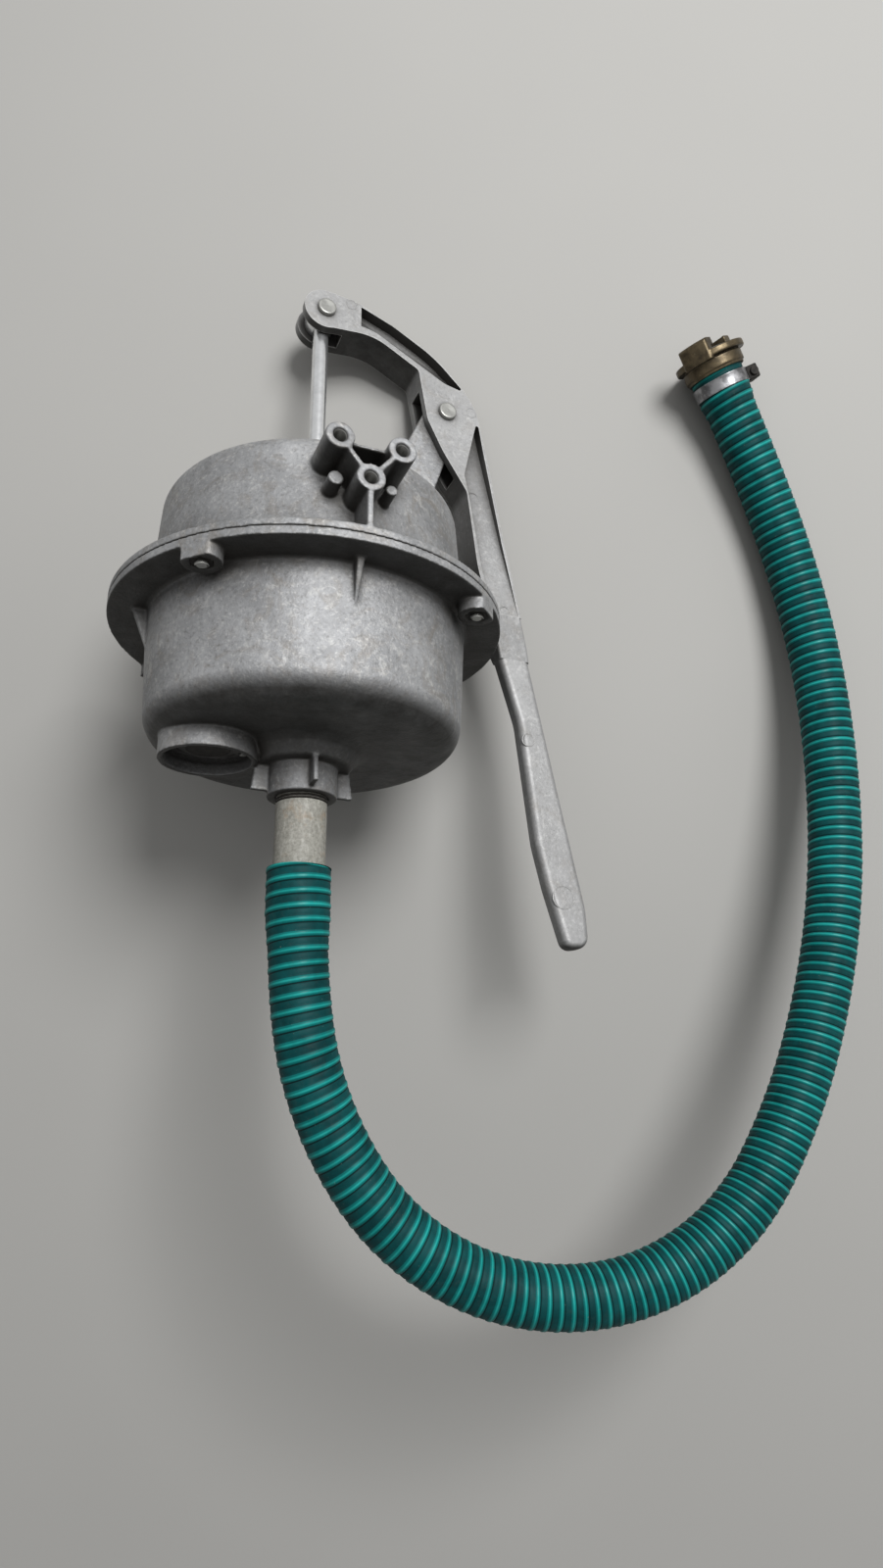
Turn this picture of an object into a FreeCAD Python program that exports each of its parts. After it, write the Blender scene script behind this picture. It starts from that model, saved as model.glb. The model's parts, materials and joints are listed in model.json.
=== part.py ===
import FreeCAD
import Part

import math
import os

from FreeCAD import Matrix, Placement, Rotation, Vector

# Hand-operated diaphragm pump of cast aluminium, lying on a floor with its suction hose.
# Every pump piece is modelled in the pump's own frame and then laid down as it rests:
# X points from the pump axis to the lever's fulcrum, Z runs up the axis to the rod,
# and -Y is the side of the three mounting bosses. Z = 0 is the underside of the flange.
# Lengths are millimetres and angles are degrees.

# Chamber wall, which the cover, the bolts, the flange and the diaphragm follow
HOUSING_TOP_R = 108.5
BOLT_REACH = 16.5
FLANGE_LAND = 8.5

# Flange and its bolts
BOLT_CIRCLE_R = HOUSING_TOP_R + BOLT_REACH
FLANGE_R = BOLT_CIRCLE_R + FLANGE_LAND
HOUSING_FLANGE_T = 6.0
COVER_FLANGE_T = 5.7
BOLT_COUNT = 4
BOLT_FIRST_ANGLE = 45.0
BOLT_R = 4.0
BOLT_HEAD_R = 7.8
BOLT_HEAD_H = 4.2
BOLT_SOCKET_FLATS = 5.0
BOLT_SOCKET_DEPTH = 2.6
BOLT_TIP_BELOW_NUT = 1.4
NUT_FLATS = 13.0
NUT_H = 6.5
EAR_R = 12.4
EAR_H = 9.0
NUT_RECESS_DEPTH = 7.0

# Lower housing
HOUSING_DRAFT = 4.0
HOUSING_FOOT_R = HOUSING_TOP_R - HOUSING_DRAFT
HOUSING_DEPTH = 85.0
HOUSING_CORNER_R = 18.0
HOUSING_WALL = 5.0
GUSSET_T = 5.0
GUSSET_REACH = 9.5
GUSSET_DROP = 30.0

# Suction boss under the housing
BOSS_R = 23.1
BOSS_CONE_R = 41.0
BOSS_CONE_FOOT_R = 31.0
BOSS_FILLET_R = 12.0
BOSS_CONE_H = 11.5
BOSS_LENGTH = 32.4
BOSS_FIN_T = 3.4
BOSS_FIN_REACH = 11.4
BOSS_FIN_SHOULDER_REACH = 9.5
BOSS_FIN_SHOULDER_H = 14.0
BOSS_FIN_SETBACK = 3.0
BOSS_FIN_ROOT = 4.0
INLET_PORT_R = 13.5
PIPE_THREAD_DEPTH = 20.0

# Outlet spigot
SPIGOT_R = 31.6
SPIGOT_SETBACK = 10.0
SPIGOT_X = SPIGOT_R + SPIGOT_SETBACK - HOUSING_FOOT_R
SPIGOT_BORE_R = 28.1
SPIGOT_LENGTH = 14.0
SPIGOT_RELIEF_R = 28.6
SPIGOT_RELIEF_DEPTH = 6.0
OUTLET_PORT_R = 18.0

# Top cover
COVER_DRAFT = 5.6
COVER_FOOT_R = HOUSING_TOP_R
COVER_TOP_R = COVER_FOOT_R - COVER_DRAFT
COVER_TOP_Z = 93.2
COVER_SHOULDER_R = 13.0
COVER_WALL = 5.0
ROD_SLOT_CENTRE_X = -3.0
ROD_SLOT_HALF_TRAVEL = 6.5
ROD_SLOT_GAP = 2.0

# Mounting bosses on the cover: two above, one below between them
MOUNT_REACH = 25.5
MOUNT_FACE_Y = -COVER_FOOT_R - MOUNT_REACH
MOUNT_BOSS_R = 9.2
MOUNT_HOLE_R = 4.25
MOUNT_HOLE_DEPTH = 27.0
MOUNT_CHAMFER = 1.0
MOUNT_SPACING = 39.6
MOUNT_UPPER_Z = 68.7
MOUNT_LOWER_Z = 44.5
MOUNT_WEB_T = 3.4
MOUNT_TOP_WEB_T = 2.4
MOUNT_RIB_T = 3.8
MOUNT_ROOT_DEPTH = 26.5
MOUNT_ROOT_Y = MOUNT_ROOT_DEPTH - COVER_FOOT_R
WEB_SETBACK = 0.6
WEB_FACE_Y = MOUNT_FACE_Y + WEB_SETBACK
TOP_WEB_SETBACK = 6.0
TOP_WEB_FACE_Y = MOUNT_FACE_Y + TOP_WEB_SETBACK
PEG_Z = 48.5
PEG_SETBACK = 14.0
PEG_FACE_Y = MOUNT_FACE_Y + PEG_SETBACK
PEG_SPREAD = 17.8
LEFT_PEG_R = 4.9
RIGHT_PEG_R = 3.8

# Fulcrum lug on the cover
FULCRUM_X = 101.0
FULCRUM_Z = 207.8
LUG_T = 14.0
LUG_EYE_R = 15.0
LUG_FOOT_INNER_X = 33.0
LUG_FOOT_OUTER_X = 77.0
LUG_KNEE_X = 101.5
LUG_KNEE_Z = 165.0

# Lever
LEVER_T = 28.0
LEVER_EAR_R = 17.0
ROD_FORK_GAP = 14.4
ROD_FORK_CLEARANCE = 2.5
FULCRUM_FORK_GAP = 15.4
FULCRUM_FORK_CLEARANCE = 3.0
FULCRUM_FORK_FOOT_Z = 153.0
FULCRUM_FORK_TOP_REACH = 14.4
FULCRUM_FORK_FOOT_REACH = 10.8
POCKET_DEPTH = 9.5
ROD_PIN_Z = 273.5
ROD_X = 1.5
GRIP_T = 14.0
GRIP_TOP_Z = 8.0
GRIP_RAMP_TOP_Z = 40.0
GRIP_RAMP_ROUND = 2.0
GRIP_ROUND = 4.5

# Pins
PIN_R = 4.0
PIN_HEAD_R = 7.0
PIN_HEAD_T = 3.4
PIN_HEAD_ROUND = 0.8
PIN_TAIL = 5.0
CLIP_R = 6.6
CLIP_T = 1.2
CLIP_GROOVE_DEPTH = 0.6
CLIP_GAP = 0.3

# Diaphragm rod and what it carries
ROD_R = 6.0
ROD_EYE_R = 12.0
ROD_EYE_T = 13.4
ROD_TAIL = 4.0
PLATE_R = 55.0
PLATE_T = 3.0
ROD_NUT_FLATS = 18.0
UPPER_ROD_NUT_H = 7.0
LOWER_ROD_NUT_H = 10.0
DIAPHRAGM_T = 4.0
DIAPHRAGM_BOLT_GAP = 6.0
DIAPHRAGM_R = BOLT_CIRCLE_R - BOLT_R - DIAPHRAGM_BOLT_GAP
DIAPHRAGM_FLAT_R = 62.0
DIAPHRAGM_LIFT = 29.0
DIAPHRAGM_WALL_GAP = 4.0
DIAPHRAGM_BEND_R = 6.0

# Flap valves
INLET_SEAT_R = 17.0
SEAT_H = 2.0
INLET_FLAP_R = 18.5
OUTLET_FLAP_R = 21.0
FLAP_T = 3.0
FLAP_NECK_W = 20.0
FLAP_WEIGHT_T = 2.5
FLAP_WEIGHT_MARGIN = 6.5
FLAP_HINGE_GAP = 0.4
INLET_TAB_L = 14.0
OUTLET_TAB_L = 4.6
TAB_SCREW_R = 1.75
TAB_SCREW_HEAD_R = 3.0
OUTLET_SCREW_HEAD_R = 2.2
TAB_SCREW_HEAD_H = 1.8
TAB_SCREW_GRIP = 3.5
TAB_SCREW_SPREAD = 6.0

# Suction pipe and hose
PIPE_R = 16.85
PIPE_WALL = 3.2
PIPE_VISIBLE = 47.1
PIPE_IN_HOSE = 36.0
HOSE_R = 19.3
HOSE_BORE_R = 16.0
HOSE_SLEEVE_R = 21.0
HOSE_SLEEVE_LENGTH = 38.0
HOSE_SLEEVE_TAPER = 6.0

# Clamp and claw coupling at the hose's far end
TAIL_R = 17.4
TAIL_TIP_R = 16.8
TAIL_BORE_R = 13.5
TAIL_LENGTH = 30.0
HOSE_END_R = 20.7
HOSE_END_LENGTH = 21.0
HOSE_END_TAPER = 9.0
COLLAR_R = 23.6
COLLAR_LIP_R = 22.4
COLLAR_LIP = 2.2
COLLAR_LENGTH = 10.4
PLATE_NECK_R = 22.0
PLATE_NECK_LENGTH = 0.9
CLAW_PLATE_R = 27.4
CLAW_PLATE_T = 5.2
CLAW_LENGTH = 16.5
CLAW_FOOT = 9.8
CLAW_OUTER_R = 28.2
CLAW_INNER_R = 17.8
CLAW_WIDTH = 24.0
CLAW_ROUND = 3.0
CLAW_HOOK_T = 6.5
CLAW_HOOK_DEPTH = 4.0
CLAW_TURN = -42.0
GASKET_R = 17.0
GASKET_BORE_R = 12.5
GASKET_T = 5.0
GASKET_PROUD = 2.0
BAND_W = 10.0
BAND_T = 0.8
BAND_SETBACK = 4.5
CLAMP_HOUSING = Vector(11.0, 9.0, 15.0)
CLAMP_HOUSING_SUNK = 1.2
CLAMP_SCREW_R = 3.2
CLAMP_SCREW_OVERHANG = 2.0
CLAMP_HEAD_FLATS = 8.0
CLAMP_HEAD_H = 5.0
CLAMP_SLOT_W = 1.2
CLAMP_EDGE_ROUND = 1.2
CLAMP_TURN = 97.0

# Fits and clearances
PIN_FIT = 0.06
BOLT_FIT = 0.4
THREAD_FIT = 0.05
RECESS_FIT = 0.2

# How the pump lies: turned about its own axis, then tipped with the pipe end up,
# so that it rests on the flange rim and on the back corner of the lever's arm.
LIE_ROLL = 23.0
LIE_PITCH = 18.8

# Route of the hose from the pipe's mouth, as steps away from that mouth in the row frame.
# The first run follows the pipe, so only its length is given.
HOSE_FIRST_RUN = 81.0
HOSE_ROUTE = [
    (19, -156, 35),
    (64, -224, 38),
    (135, -264, 31),
    (215, -267, 16),
    (285, -233, -8),
    (330, -169, -36),
    (361, -97, -65),
    (381, -24, -94),
    (390, 52, -121),
    (390, 130, -146),
    (378, 207, -161),
    (350, 294, -164),
    (312.4, 375, -155.6),
]
ARC_SHARE = 0.45

# Values that follow from the ones above
FLANGE_TOP_Z = HOUSING_FLANGE_T + COVER_FLANGE_T
MOUNT_LOWER = (0.0, MOUNT_LOWER_Z)
MOUNT_LEFT = (-MOUNT_SPACING / 2, MOUNT_UPPER_Z)
MOUNT_RIGHT = (MOUNT_SPACING / 2, MOUNT_UPPER_Z)
MOUNT_PLACES = (MOUNT_LEFT, MOUNT_RIGHT, MOUNT_LOWER)
FLOOR_INSIDE_Z = HOUSING_WALL - HOUSING_DEPTH
BOSS_END_Z = -HOUSING_DEPTH - BOSS_LENGTH
MOUTH_Z = BOSS_END_Z - PIPE_VISIBLE
DIAPHRAGM_Z = HOUSING_FLANGE_T - DIAPHRAGM_T / 2
PLATEAU_Z = DIAPHRAGM_Z + DIAPHRAGM_LIFT
LOWER_PLATE_Z = PLATEAU_Z - PLATE_T
UPPER_PLATE_Z = PLATEAU_Z + DIAPHRAGM_T
X_AXIS = Vector(1, 0, 0)
Y_AXIS = Vector(0, 1, 0)
Z_AXIS = Vector(0, 0, 1)


def disc(radius, z_low, z_high, x=0.0, y=0.0):
    """A round bar along Z."""
    return Part.makeCylinder(radius, z_high - z_low, Vector(x, y, z_low), Z_AXIS)


def cross_bar(radius, y_low, y_high, x, z):
    """A round bar along Y."""
    return Part.makeCylinder(radius, y_high - y_low, Vector(x, y_low, z), Y_AXIS)


def block(x_low, x_high, y_low, y_high, z_low, z_high):
    size = (x_high - x_low, y_high - y_low, z_high - z_low)
    return Part.makeBox(size[0], size[1], size[2], Vector(x_low, y_low, z_low))


def hexagon(flats, z_low, z_high, x=0.0, y=0.0, turn=0.0):
    """A six-sided bar along Z, with a flat facing the turn angle."""
    corner_r = flats / 2 / math.cos(math.radians(30))
    corners = []
    for step in range(7):
        angle = math.radians(turn + 30 + 60 * step)
        corners.append(Vector(x + corner_r * math.cos(angle), y + corner_r * math.sin(angle), z_low))
    return Part.Face(Part.makePolygon(corners)).extrude(Vector(0, 0, z_high - z_low))


def corner_arc(before, corner, after, radius):
    """Start, middle and end of the arc that rounds a corner."""
    to_before = (before - corner).normalize()
    to_after = (after - corner).normalize()
    half_angle = to_before.getAngle(to_after) / 2
    reach = radius / math.tan(half_angle)
    inward = (to_before + to_after).normalize()
    centre = corner + inward * (radius / math.sin(half_angle))
    return corner + to_before * reach, centre - inward * radius, corner + to_after * reach


def rounded_wire(points, radii, closed):
    """Straight runs joined by tangent arcs; a radius of 0 keeps a sharp corner."""
    count = len(points)
    edges = []
    spans = []
    for index, corner in enumerate(points):
        is_end = not closed and index in (0, count - 1)
        if radii[index] == 0 or is_end:
            spans.append((corner, None, corner))
        else:
            after = points[(index + 1) % count]
            spans.append(corner_arc(points[index - 1], corner, after, radii[index]))
    for index, (start, middle, end) in enumerate(spans):
        if middle is not None:
            edges.append(Part.Arc(start, middle, end).toShape())
        following = spans[(index + 1) % count][0]
        is_last = index == count - 1
        if (closed or not is_last) and (following - end).Length > 1e-6:
            edges.append(Part.LineSegment(end, following).toShape())
    return Part.Wire(edges)


def turned(profile):
    """A solid of revolution about Z from (radius, z, corner radius) rows."""
    points = [Vector(radius, 0, z) for radius, z, _ in profile]
    wire = rounded_wire(points, [row[2] for row in profile], closed=True)
    return Part.Face(wire).revolve(Vector(0, 0, 0), Z_AXIS, 360)


def slab(outline, y_low, y_high):
    """A plate of constant thickness along Y from (x, z, corner radius) rows."""
    points = [Vector(x, y_low, z) for x, z, _ in outline]
    wire = rounded_wire(points, [row[2] for row in outline], closed=True)
    return Part.Face(wire).extrude(Vector(0, y_high - y_low, 0))


def about_axis(shape, angle):
    copy = shape.copy()
    copy.rotate(Vector(0, 0, 0), Z_AXIS, angle)
    return copy


def bolt_places():
    for step in range(BOLT_COUNT):
        angle = BOLT_FIRST_ANGLE + 360.0 / BOLT_COUNT * step
        reach = math.radians(angle)
        yield angle, BOLT_CIRCLE_R * math.cos(reach), BOLT_CIRCLE_R * math.sin(reach)


def bolt_holes(z_low, z_high):
    holes = [disc(BOLT_R + BOLT_FIT, z_low, z_high, x, y) for _, x, y in bolt_places()]
    return holes[0].multiFuse(holes[1:])


def bolt_head_cone(x, y):
    """The countersunk head that lies flush in the cover's flange."""
    start = Vector(x, y, FLANGE_TOP_Z - BOLT_HEAD_H)
    return Part.makeCone(BOLT_R, BOLT_HEAD_R, BOLT_HEAD_H, start, Z_AXIS)


def diaphragm_seat():
    """The round recess, shared by both flanges, that the rim of the diaphragm fills."""
    return disc(DIAPHRAGM_R, DIAPHRAGM_Z, DIAPHRAGM_Z + DIAPHRAGM_T)


def flap_screw_places(hinge_x, tab_length):
    middle = hinge_x + FLAP_HINGE_GAP + tab_length / 2
    return [(middle, -TAB_SCREW_SPREAD), (middle, TAB_SCREW_SPREAD)]


INLET_HINGE_X = INLET_FLAP_R + 1.5
OUTLET_HINGE_X = SPIGOT_X + OUTLET_FLAP_R + 0.2
INLET_SCREWS = flap_screw_places(INLET_HINGE_X, INLET_TAB_L)
OUTLET_SCREWS = flap_screw_places(OUTLET_HINGE_X, OUTLET_TAB_L)
INLET_FLAP_Z = FLOOR_INSIDE_Z + SEAT_H
OUTLET_FLAP_Z = -HOUSING_DEPTH - FLAP_T


def make_lower_housing():
    inner_top_r = HOUSING_TOP_R - HOUSING_WALL
    inner_foot_r = HOUSING_FOOT_R - HOUSING_WALL
    body = turned([
        (0, BOSS_END_Z, 0),
        (BOSS_R, BOSS_END_Z, 1.0),
        (BOSS_R, -HOUSING_DEPTH - BOSS_CONE_H, 0),
        (BOSS_CONE_FOOT_R, -HOUSING_DEPTH - BOSS_CONE_H, 2.0),
        (BOSS_CONE_R, -HOUSING_DEPTH, BOSS_FILLET_R),
        (HOUSING_FOOT_R, -HOUSING_DEPTH, HOUSING_CORNER_R),
        (HOUSING_TOP_R, 0, 2.5),
        (FLANGE_R, 0, 0),
        (FLANGE_R, HOUSING_FLANGE_T, 0),
        (0, HOUSING_FLANGE_T, 0),
    ])
    spigot_end_z = -HOUSING_DEPTH - SPIGOT_LENGTH
    body = body.fuse(disc(SPIGOT_R, spigot_end_z, HOUSING_CORNER_R - HOUSING_DEPTH, SPIGOT_X))
    body = body.multiFuse([boss_fin(angle) for angle in (0, 90, 180, 270)])
    body = body.multiFuse([about_axis(flange_gusset(), angle) for angle in (0, 90, 180, 270)])
    rim = disc(FLANGE_R, -EAR_H, HOUSING_FLANGE_T)
    ears = [disc(EAR_R, -EAR_H, 1.0, x, y).common(rim) for _, x, y in bolt_places()]
    body = body.multiFuse(ears)
    chamber = turned([
        (0, FLOOR_INSIDE_Z, 0),
        (inner_foot_r, FLOOR_INSIDE_Z, HOUSING_CORNER_R - HOUSING_WALL),
        (inner_top_r, HOUSING_FLANGE_T + 1, 0),
        (0, HOUSING_FLANGE_T + 1, 0),
    ])
    body = body.cut(chamber)
    body = body.fuse(disc(INLET_SEAT_R, FLOOR_INSIDE_Z - 1, INLET_FLAP_Z))
    tools = [
        diaphragm_seat(),
        disc(INLET_PORT_R, BOSS_END_Z - 1, INLET_FLAP_Z + 1),
        disc(PIPE_R, BOSS_END_Z - 1, BOSS_END_Z + PIPE_THREAD_DEPTH),
        disc(OUTLET_PORT_R, -HOUSING_DEPTH - 1, FLOOR_INSIDE_Z + 1, SPIGOT_X),
        disc(SPIGOT_BORE_R, spigot_end_z - 1, -HOUSING_DEPTH, SPIGOT_X),
        disc(SPIGOT_RELIEF_R, -HOUSING_DEPTH - SPIGOT_RELIEF_DEPTH, -HOUSING_DEPTH, SPIGOT_X),
        bolt_holes(-EAR_H - 1, HOUSING_FLANGE_T + 1),
    ]
    for angle, x, y in bolt_places():
        tools.append(hexagon(NUT_FLATS + 2 * RECESS_FIT, -EAR_H - 1, NUT_RECESS_DEPTH - EAR_H, x, y, angle))
    for x, y in INLET_SCREWS:
        tools.append(disc(TAB_SCREW_R, FLOOR_INSIDE_Z - TAB_SCREW_GRIP, FLOOR_INSIDE_Z + 1, x, y))
    for x, y in OUTLET_SCREWS:
        tools.append(disc(TAB_SCREW_R, -HOUSING_DEPTH - 1, TAB_SCREW_GRIP - HOUSING_DEPTH, x, y))
    return body.cut(tools)


def boss_fin(angle):
    """A thin fin on the suction boss that widens towards its end."""
    foot_z = BOSS_END_Z + BOSS_FIN_SETBACK
    root_z = -HOUSING_DEPTH - BOSS_FIN_ROOT
    fin = slab([
        (BOSS_R - 1, foot_z, 0),
        (BOSS_R + BOSS_FIN_REACH, foot_z, 1.0),
        (BOSS_R + BOSS_FIN_SHOULDER_REACH, foot_z + BOSS_FIN_SHOULDER_H, 3.0),
        (BOSS_CONE_FOOT_R, root_z, 0),
        (BOSS_R - 1, root_z, 0),
    ], -BOSS_FIN_T / 2, BOSS_FIN_T / 2)
    return about_axis(fin, angle)


def flange_gusset():
    """A triangular web between the flange and the housing wall."""
    return slab([
        (HOUSING_FOOT_R - 2, 1.0, 0),
        (HOUSING_TOP_R + GUSSET_REACH, 1.0, 0),
        (HOUSING_TOP_R + GUSSET_REACH, 0, 0),
        (HOUSING_TOP_R - 2, -GUSSET_DROP, 0),
        (HOUSING_FOOT_R - 2, -GUSSET_DROP, 0),
    ], -GUSSET_T / 2, GUSSET_T / 2)


def make_top_cover():
    body = turned([
        (0, HOUSING_FLANGE_T, 0),
        (FLANGE_R, HOUSING_FLANGE_T, 0),
        (FLANGE_R, FLANGE_TOP_Z, 1.0),
        (COVER_FOOT_R, FLANGE_TOP_Z, 3.0),
        (COVER_TOP_R, COVER_TOP_Z, COVER_SHOULDER_R),
        (0, COVER_TOP_Z, 0),
    ])
    body = body.multiFuse([fulcrum_lug(), mounting_bosses()])
    hollow = turned([
        (0, HOUSING_FLANGE_T - 1, 0),
        (COVER_FOOT_R - COVER_WALL, HOUSING_FLANGE_T - 1, 0),
        (COVER_TOP_R - COVER_WALL, COVER_TOP_Z - COVER_WALL, COVER_SHOULDER_R - COVER_WALL),
        (0, COVER_TOP_Z - COVER_WALL, 0),
    ])
    slot_r = ROD_R + ROD_SLOT_GAP
    slot_low = COVER_TOP_Z - COVER_WALL - 1
    slot_ends = [ROD_SLOT_CENTRE_X - ROD_SLOT_HALF_TRAVEL, ROD_SLOT_CENTRE_X + ROD_SLOT_HALF_TRAVEL]
    rod_slot = block(slot_ends[0], slot_ends[1], -slot_r, slot_r, slot_low, COVER_TOP_Z + 1)
    rod_slot = rod_slot.multiFuse([disc(slot_r, slot_low, COVER_TOP_Z + 1, x) for x in slot_ends])
    tools = [hollow, rod_slot, diaphragm_seat(), bolt_holes(0, FLANGE_TOP_Z + 1)]
    tools += [bolt_head_cone(x, y) for _, x, y in bolt_places()]
    tools.append(cross_bar(PIN_R + PIN_FIT, -LUG_T, LUG_T, FULCRUM_X, FULCRUM_Z))
    tools += [mount_hole(x, z) for x, z in MOUNT_PLACES]
    return body.cut(tools)


def fulcrum_lug():
    """The tall plate that carries the lever."""
    foot_z = COVER_TOP_Z - COVER_WALL / 2
    eye = cross_bar(LUG_EYE_R, -LUG_T / 2, LUG_T / 2, FULCRUM_X, FULCRUM_Z)
    inner_angle = math.radians(160)
    outer_angle = math.radians(-53)
    plate = slab([
        (LUG_FOOT_INNER_X, foot_z, 0),
        (LUG_FOOT_OUTER_X, foot_z, 0),
        (LUG_KNEE_X, LUG_KNEE_Z, 4.0),
        on_lug_eye(outer_angle),
        (FULCRUM_X, FULCRUM_Z, 0),
        on_lug_eye(inner_angle),
    ], -LUG_T / 2, LUG_T / 2)
    return plate.fuse(eye)


def on_lug_eye(angle):
    """The outline point where an edge of the lug meets its round eye."""
    return FULCRUM_X + LUG_EYE_R * math.cos(angle), FULCRUM_Z + LUG_EYE_R * math.sin(angle), 0


def mounting_bosses():
    """Three bosses tied by webs, two plain pegs and the rib down to the flange."""
    bosses = [cross_bar(MOUNT_BOSS_R, MOUNT_FACE_Y, MOUNT_ROOT_Y, x, z) for x, z in MOUNT_PLACES]
    pegs = [
        cross_bar(LEFT_PEG_R, PEG_FACE_Y, MOUNT_ROOT_Y, -PEG_SPREAD, PEG_Z),
        cross_bar(RIGHT_PEG_R, PEG_FACE_Y, MOUNT_ROOT_Y, PEG_SPREAD, PEG_Z),
    ]
    webs = [
        web(MOUNT_LEFT, MOUNT_LOWER, MOUNT_WEB_T, WEB_FACE_Y),
        web(MOUNT_RIGHT, MOUNT_LOWER, MOUNT_WEB_T, WEB_FACE_Y),
        web(MOUNT_LEFT, MOUNT_RIGHT, MOUNT_TOP_WEB_T, TOP_WEB_FACE_Y),
    ]
    rib_half = MOUNT_RIB_T / 2
    rib = block(-rib_half, rib_half, WEB_FACE_Y, MOUNT_ROOT_Y, FLANGE_TOP_Z - 1, MOUNT_LOWER_Z)
    return bosses[0].multiFuse(bosses[1:] + pegs + webs + [rib])


def web(start, end, thickness, front_y):
    """An upright web between two bosses."""
    along = Vector(end[0] - start[0], 0, end[1] - start[1])
    side = Vector(along.z, 0, -along.x).normalize() * (thickness / 2)
    low = Vector(start[0], front_y, start[1])
    high = Vector(end[0], front_y, end[1])
    corners = [low + side, high + side, high - side, low - side, low + side]
    return Part.Face(Part.makePolygon(corners)).extrude(Vector(0, MOUNT_ROOT_Y - front_y, 0))


def mount_hole(x, z):
    hole = cross_bar(MOUNT_HOLE_R, MOUNT_FACE_Y - 1, MOUNT_FACE_Y + MOUNT_HOLE_DEPTH, x, z)
    mouth_r = MOUNT_HOLE_R + MOUNT_CHAMFER
    chamfer = Part.makeCone(mouth_r, MOUNT_HOLE_R, MOUNT_CHAMFER, Vector(x, MOUNT_FACE_Y, z), Y_AXIS)
    return hole.fuse(chamfer)


# The lever's edge, clockwise from the top of the rod eye: (x, z, corner radius)
LEVER_OUTLINE = [
    (4.0, 290.6, 0),
    (29.6, 287.3, 40.0),
    (91.5, 259.0, 110.0),
    (125.0, 222.0, 50.0),
    (133.5, 182.0, 80.0),
    (147.8, 100.0, 120.0),
    (160.0, 41.0, 30.0),
    (168.0, 16.0, 60.0),
    (193.0, -104.0, 120.0),
    (208.5, -176.0, 60.0),
    (210.0, -203.5, 9.5),
    (191.5, -206.5, 7.5),
    (178.0, -163.0, 90.0),
    (170.5, -132.0, 70.0),
    (159.8, -41.0, 55.0),
    (125.5, 74.0, 100.0),
    (117.3, 140.0, 12.0),
    (97.5, 171.5, 30.0),
    (85.0, 197.0, 20.0),
    (77.5, 240.8, 5.0),
    (40.0, 261.0, 40.0),
    (-1.0, 256.8, 0),
]


def make_lever():
    half = LEVER_T / 2
    plate = slab(LEVER_OUTLINE, -half, half)
    ear = cross_bar(LEVER_EAR_R, -half, half, ROD_X, ROD_PIN_Z)
    lever = with_thin_grip(plate).fuse(ear).removeSplitter()
    fork_end = ROD_X + ROD_EYE_R + ROD_FORK_CLEARANCE
    rod_fork = block(ROD_X - 2 * LEVER_EAR_R, fork_end, -ROD_FORK_GAP / 2, ROD_FORK_GAP / 2,
                     ROD_PIN_Z - 2 * LEVER_EAR_R, ROD_PIN_Z + 2 * LEVER_EAR_R)
    clear = LUG_EYE_R + FULCRUM_FORK_CLEARANCE
    fulcrum_fork = slab([
        (FULCRUM_X - 3 * clear, FULCRUM_Z + clear, 0),
        (FULCRUM_X + FULCRUM_FORK_TOP_REACH, FULCRUM_Z + clear, 8.0),
        (FULCRUM_X + clear, FULCRUM_Z - clear, 8.0),
        (FULCRUM_X + FULCRUM_FORK_FOOT_REACH, FULCRUM_FORK_FOOT_Z, 0),
        (FULCRUM_X - 3 * clear, FULCRUM_FORK_FOOT_Z, 0),
    ], -FULCRUM_FORK_GAP / 2, FULCRUM_FORK_GAP / 2)
    tools = [rod_fork, fulcrum_fork]
    tools.append(cross_bar(PIN_R, -LEVER_T, LEVER_T, ROD_X, ROD_PIN_Z))
    tools.append(cross_bar(PIN_R, -LEVER_T, LEVER_T, FULCRUM_X, FULCRUM_Z))
    for side in (-1, 1):
        tools += [arm_pocket(side), shank_pocket(side)]
    return lever.cut(tools)


def with_thin_grip(plate):
    """Thins the lower end of the lever to the grip, by a ramp, and rounds its long edges."""
    reach = 3 * FULCRUM_X
    thick = LEVER_T / 2
    thin = GRIP_T / 2
    tools = []
    for side in (-1, 1):
        corners = [
            Vector(0, side * thick, GRIP_RAMP_TOP_Z),
            Vector(0, side * thin, GRIP_TOP_Z),
            Vector(0, side * thin, -reach),
            Vector(0, side * 2 * thick, -reach),
            Vector(0, side * 2 * thick, GRIP_RAMP_TOP_Z),
        ]
        tools.append(Part.Face(Part.makePolygon(corners + corners[:1])).extrude(Vector(reach, 0, 0)))
    thinned = plate.cut(tools)
    upper = thinned.cut(block(0, reach, -thick, thick, -reach, GRIP_RAMP_TOP_Z))
    ramp = thinned.common(block(0, reach, -thick, thick, GRIP_TOP_Z, GRIP_RAMP_TOP_Z))
    grip = thinned.common(block(0, reach, -thick, thick, -reach, GRIP_TOP_Z))
    ramp = ramp.makeFillet(GRIP_RAMP_ROUND, long_edges(ramp))
    grip = grip.makeFillet(GRIP_ROUND, long_edges(grip))
    return upper.multiFuse([ramp, grip])


def long_edges(solid):
    """The edges of the front and back faces that run down the lever."""
    return [edge for edge in solid.Edges if edge.BoundBox.ZLength > 0.6]


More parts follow.
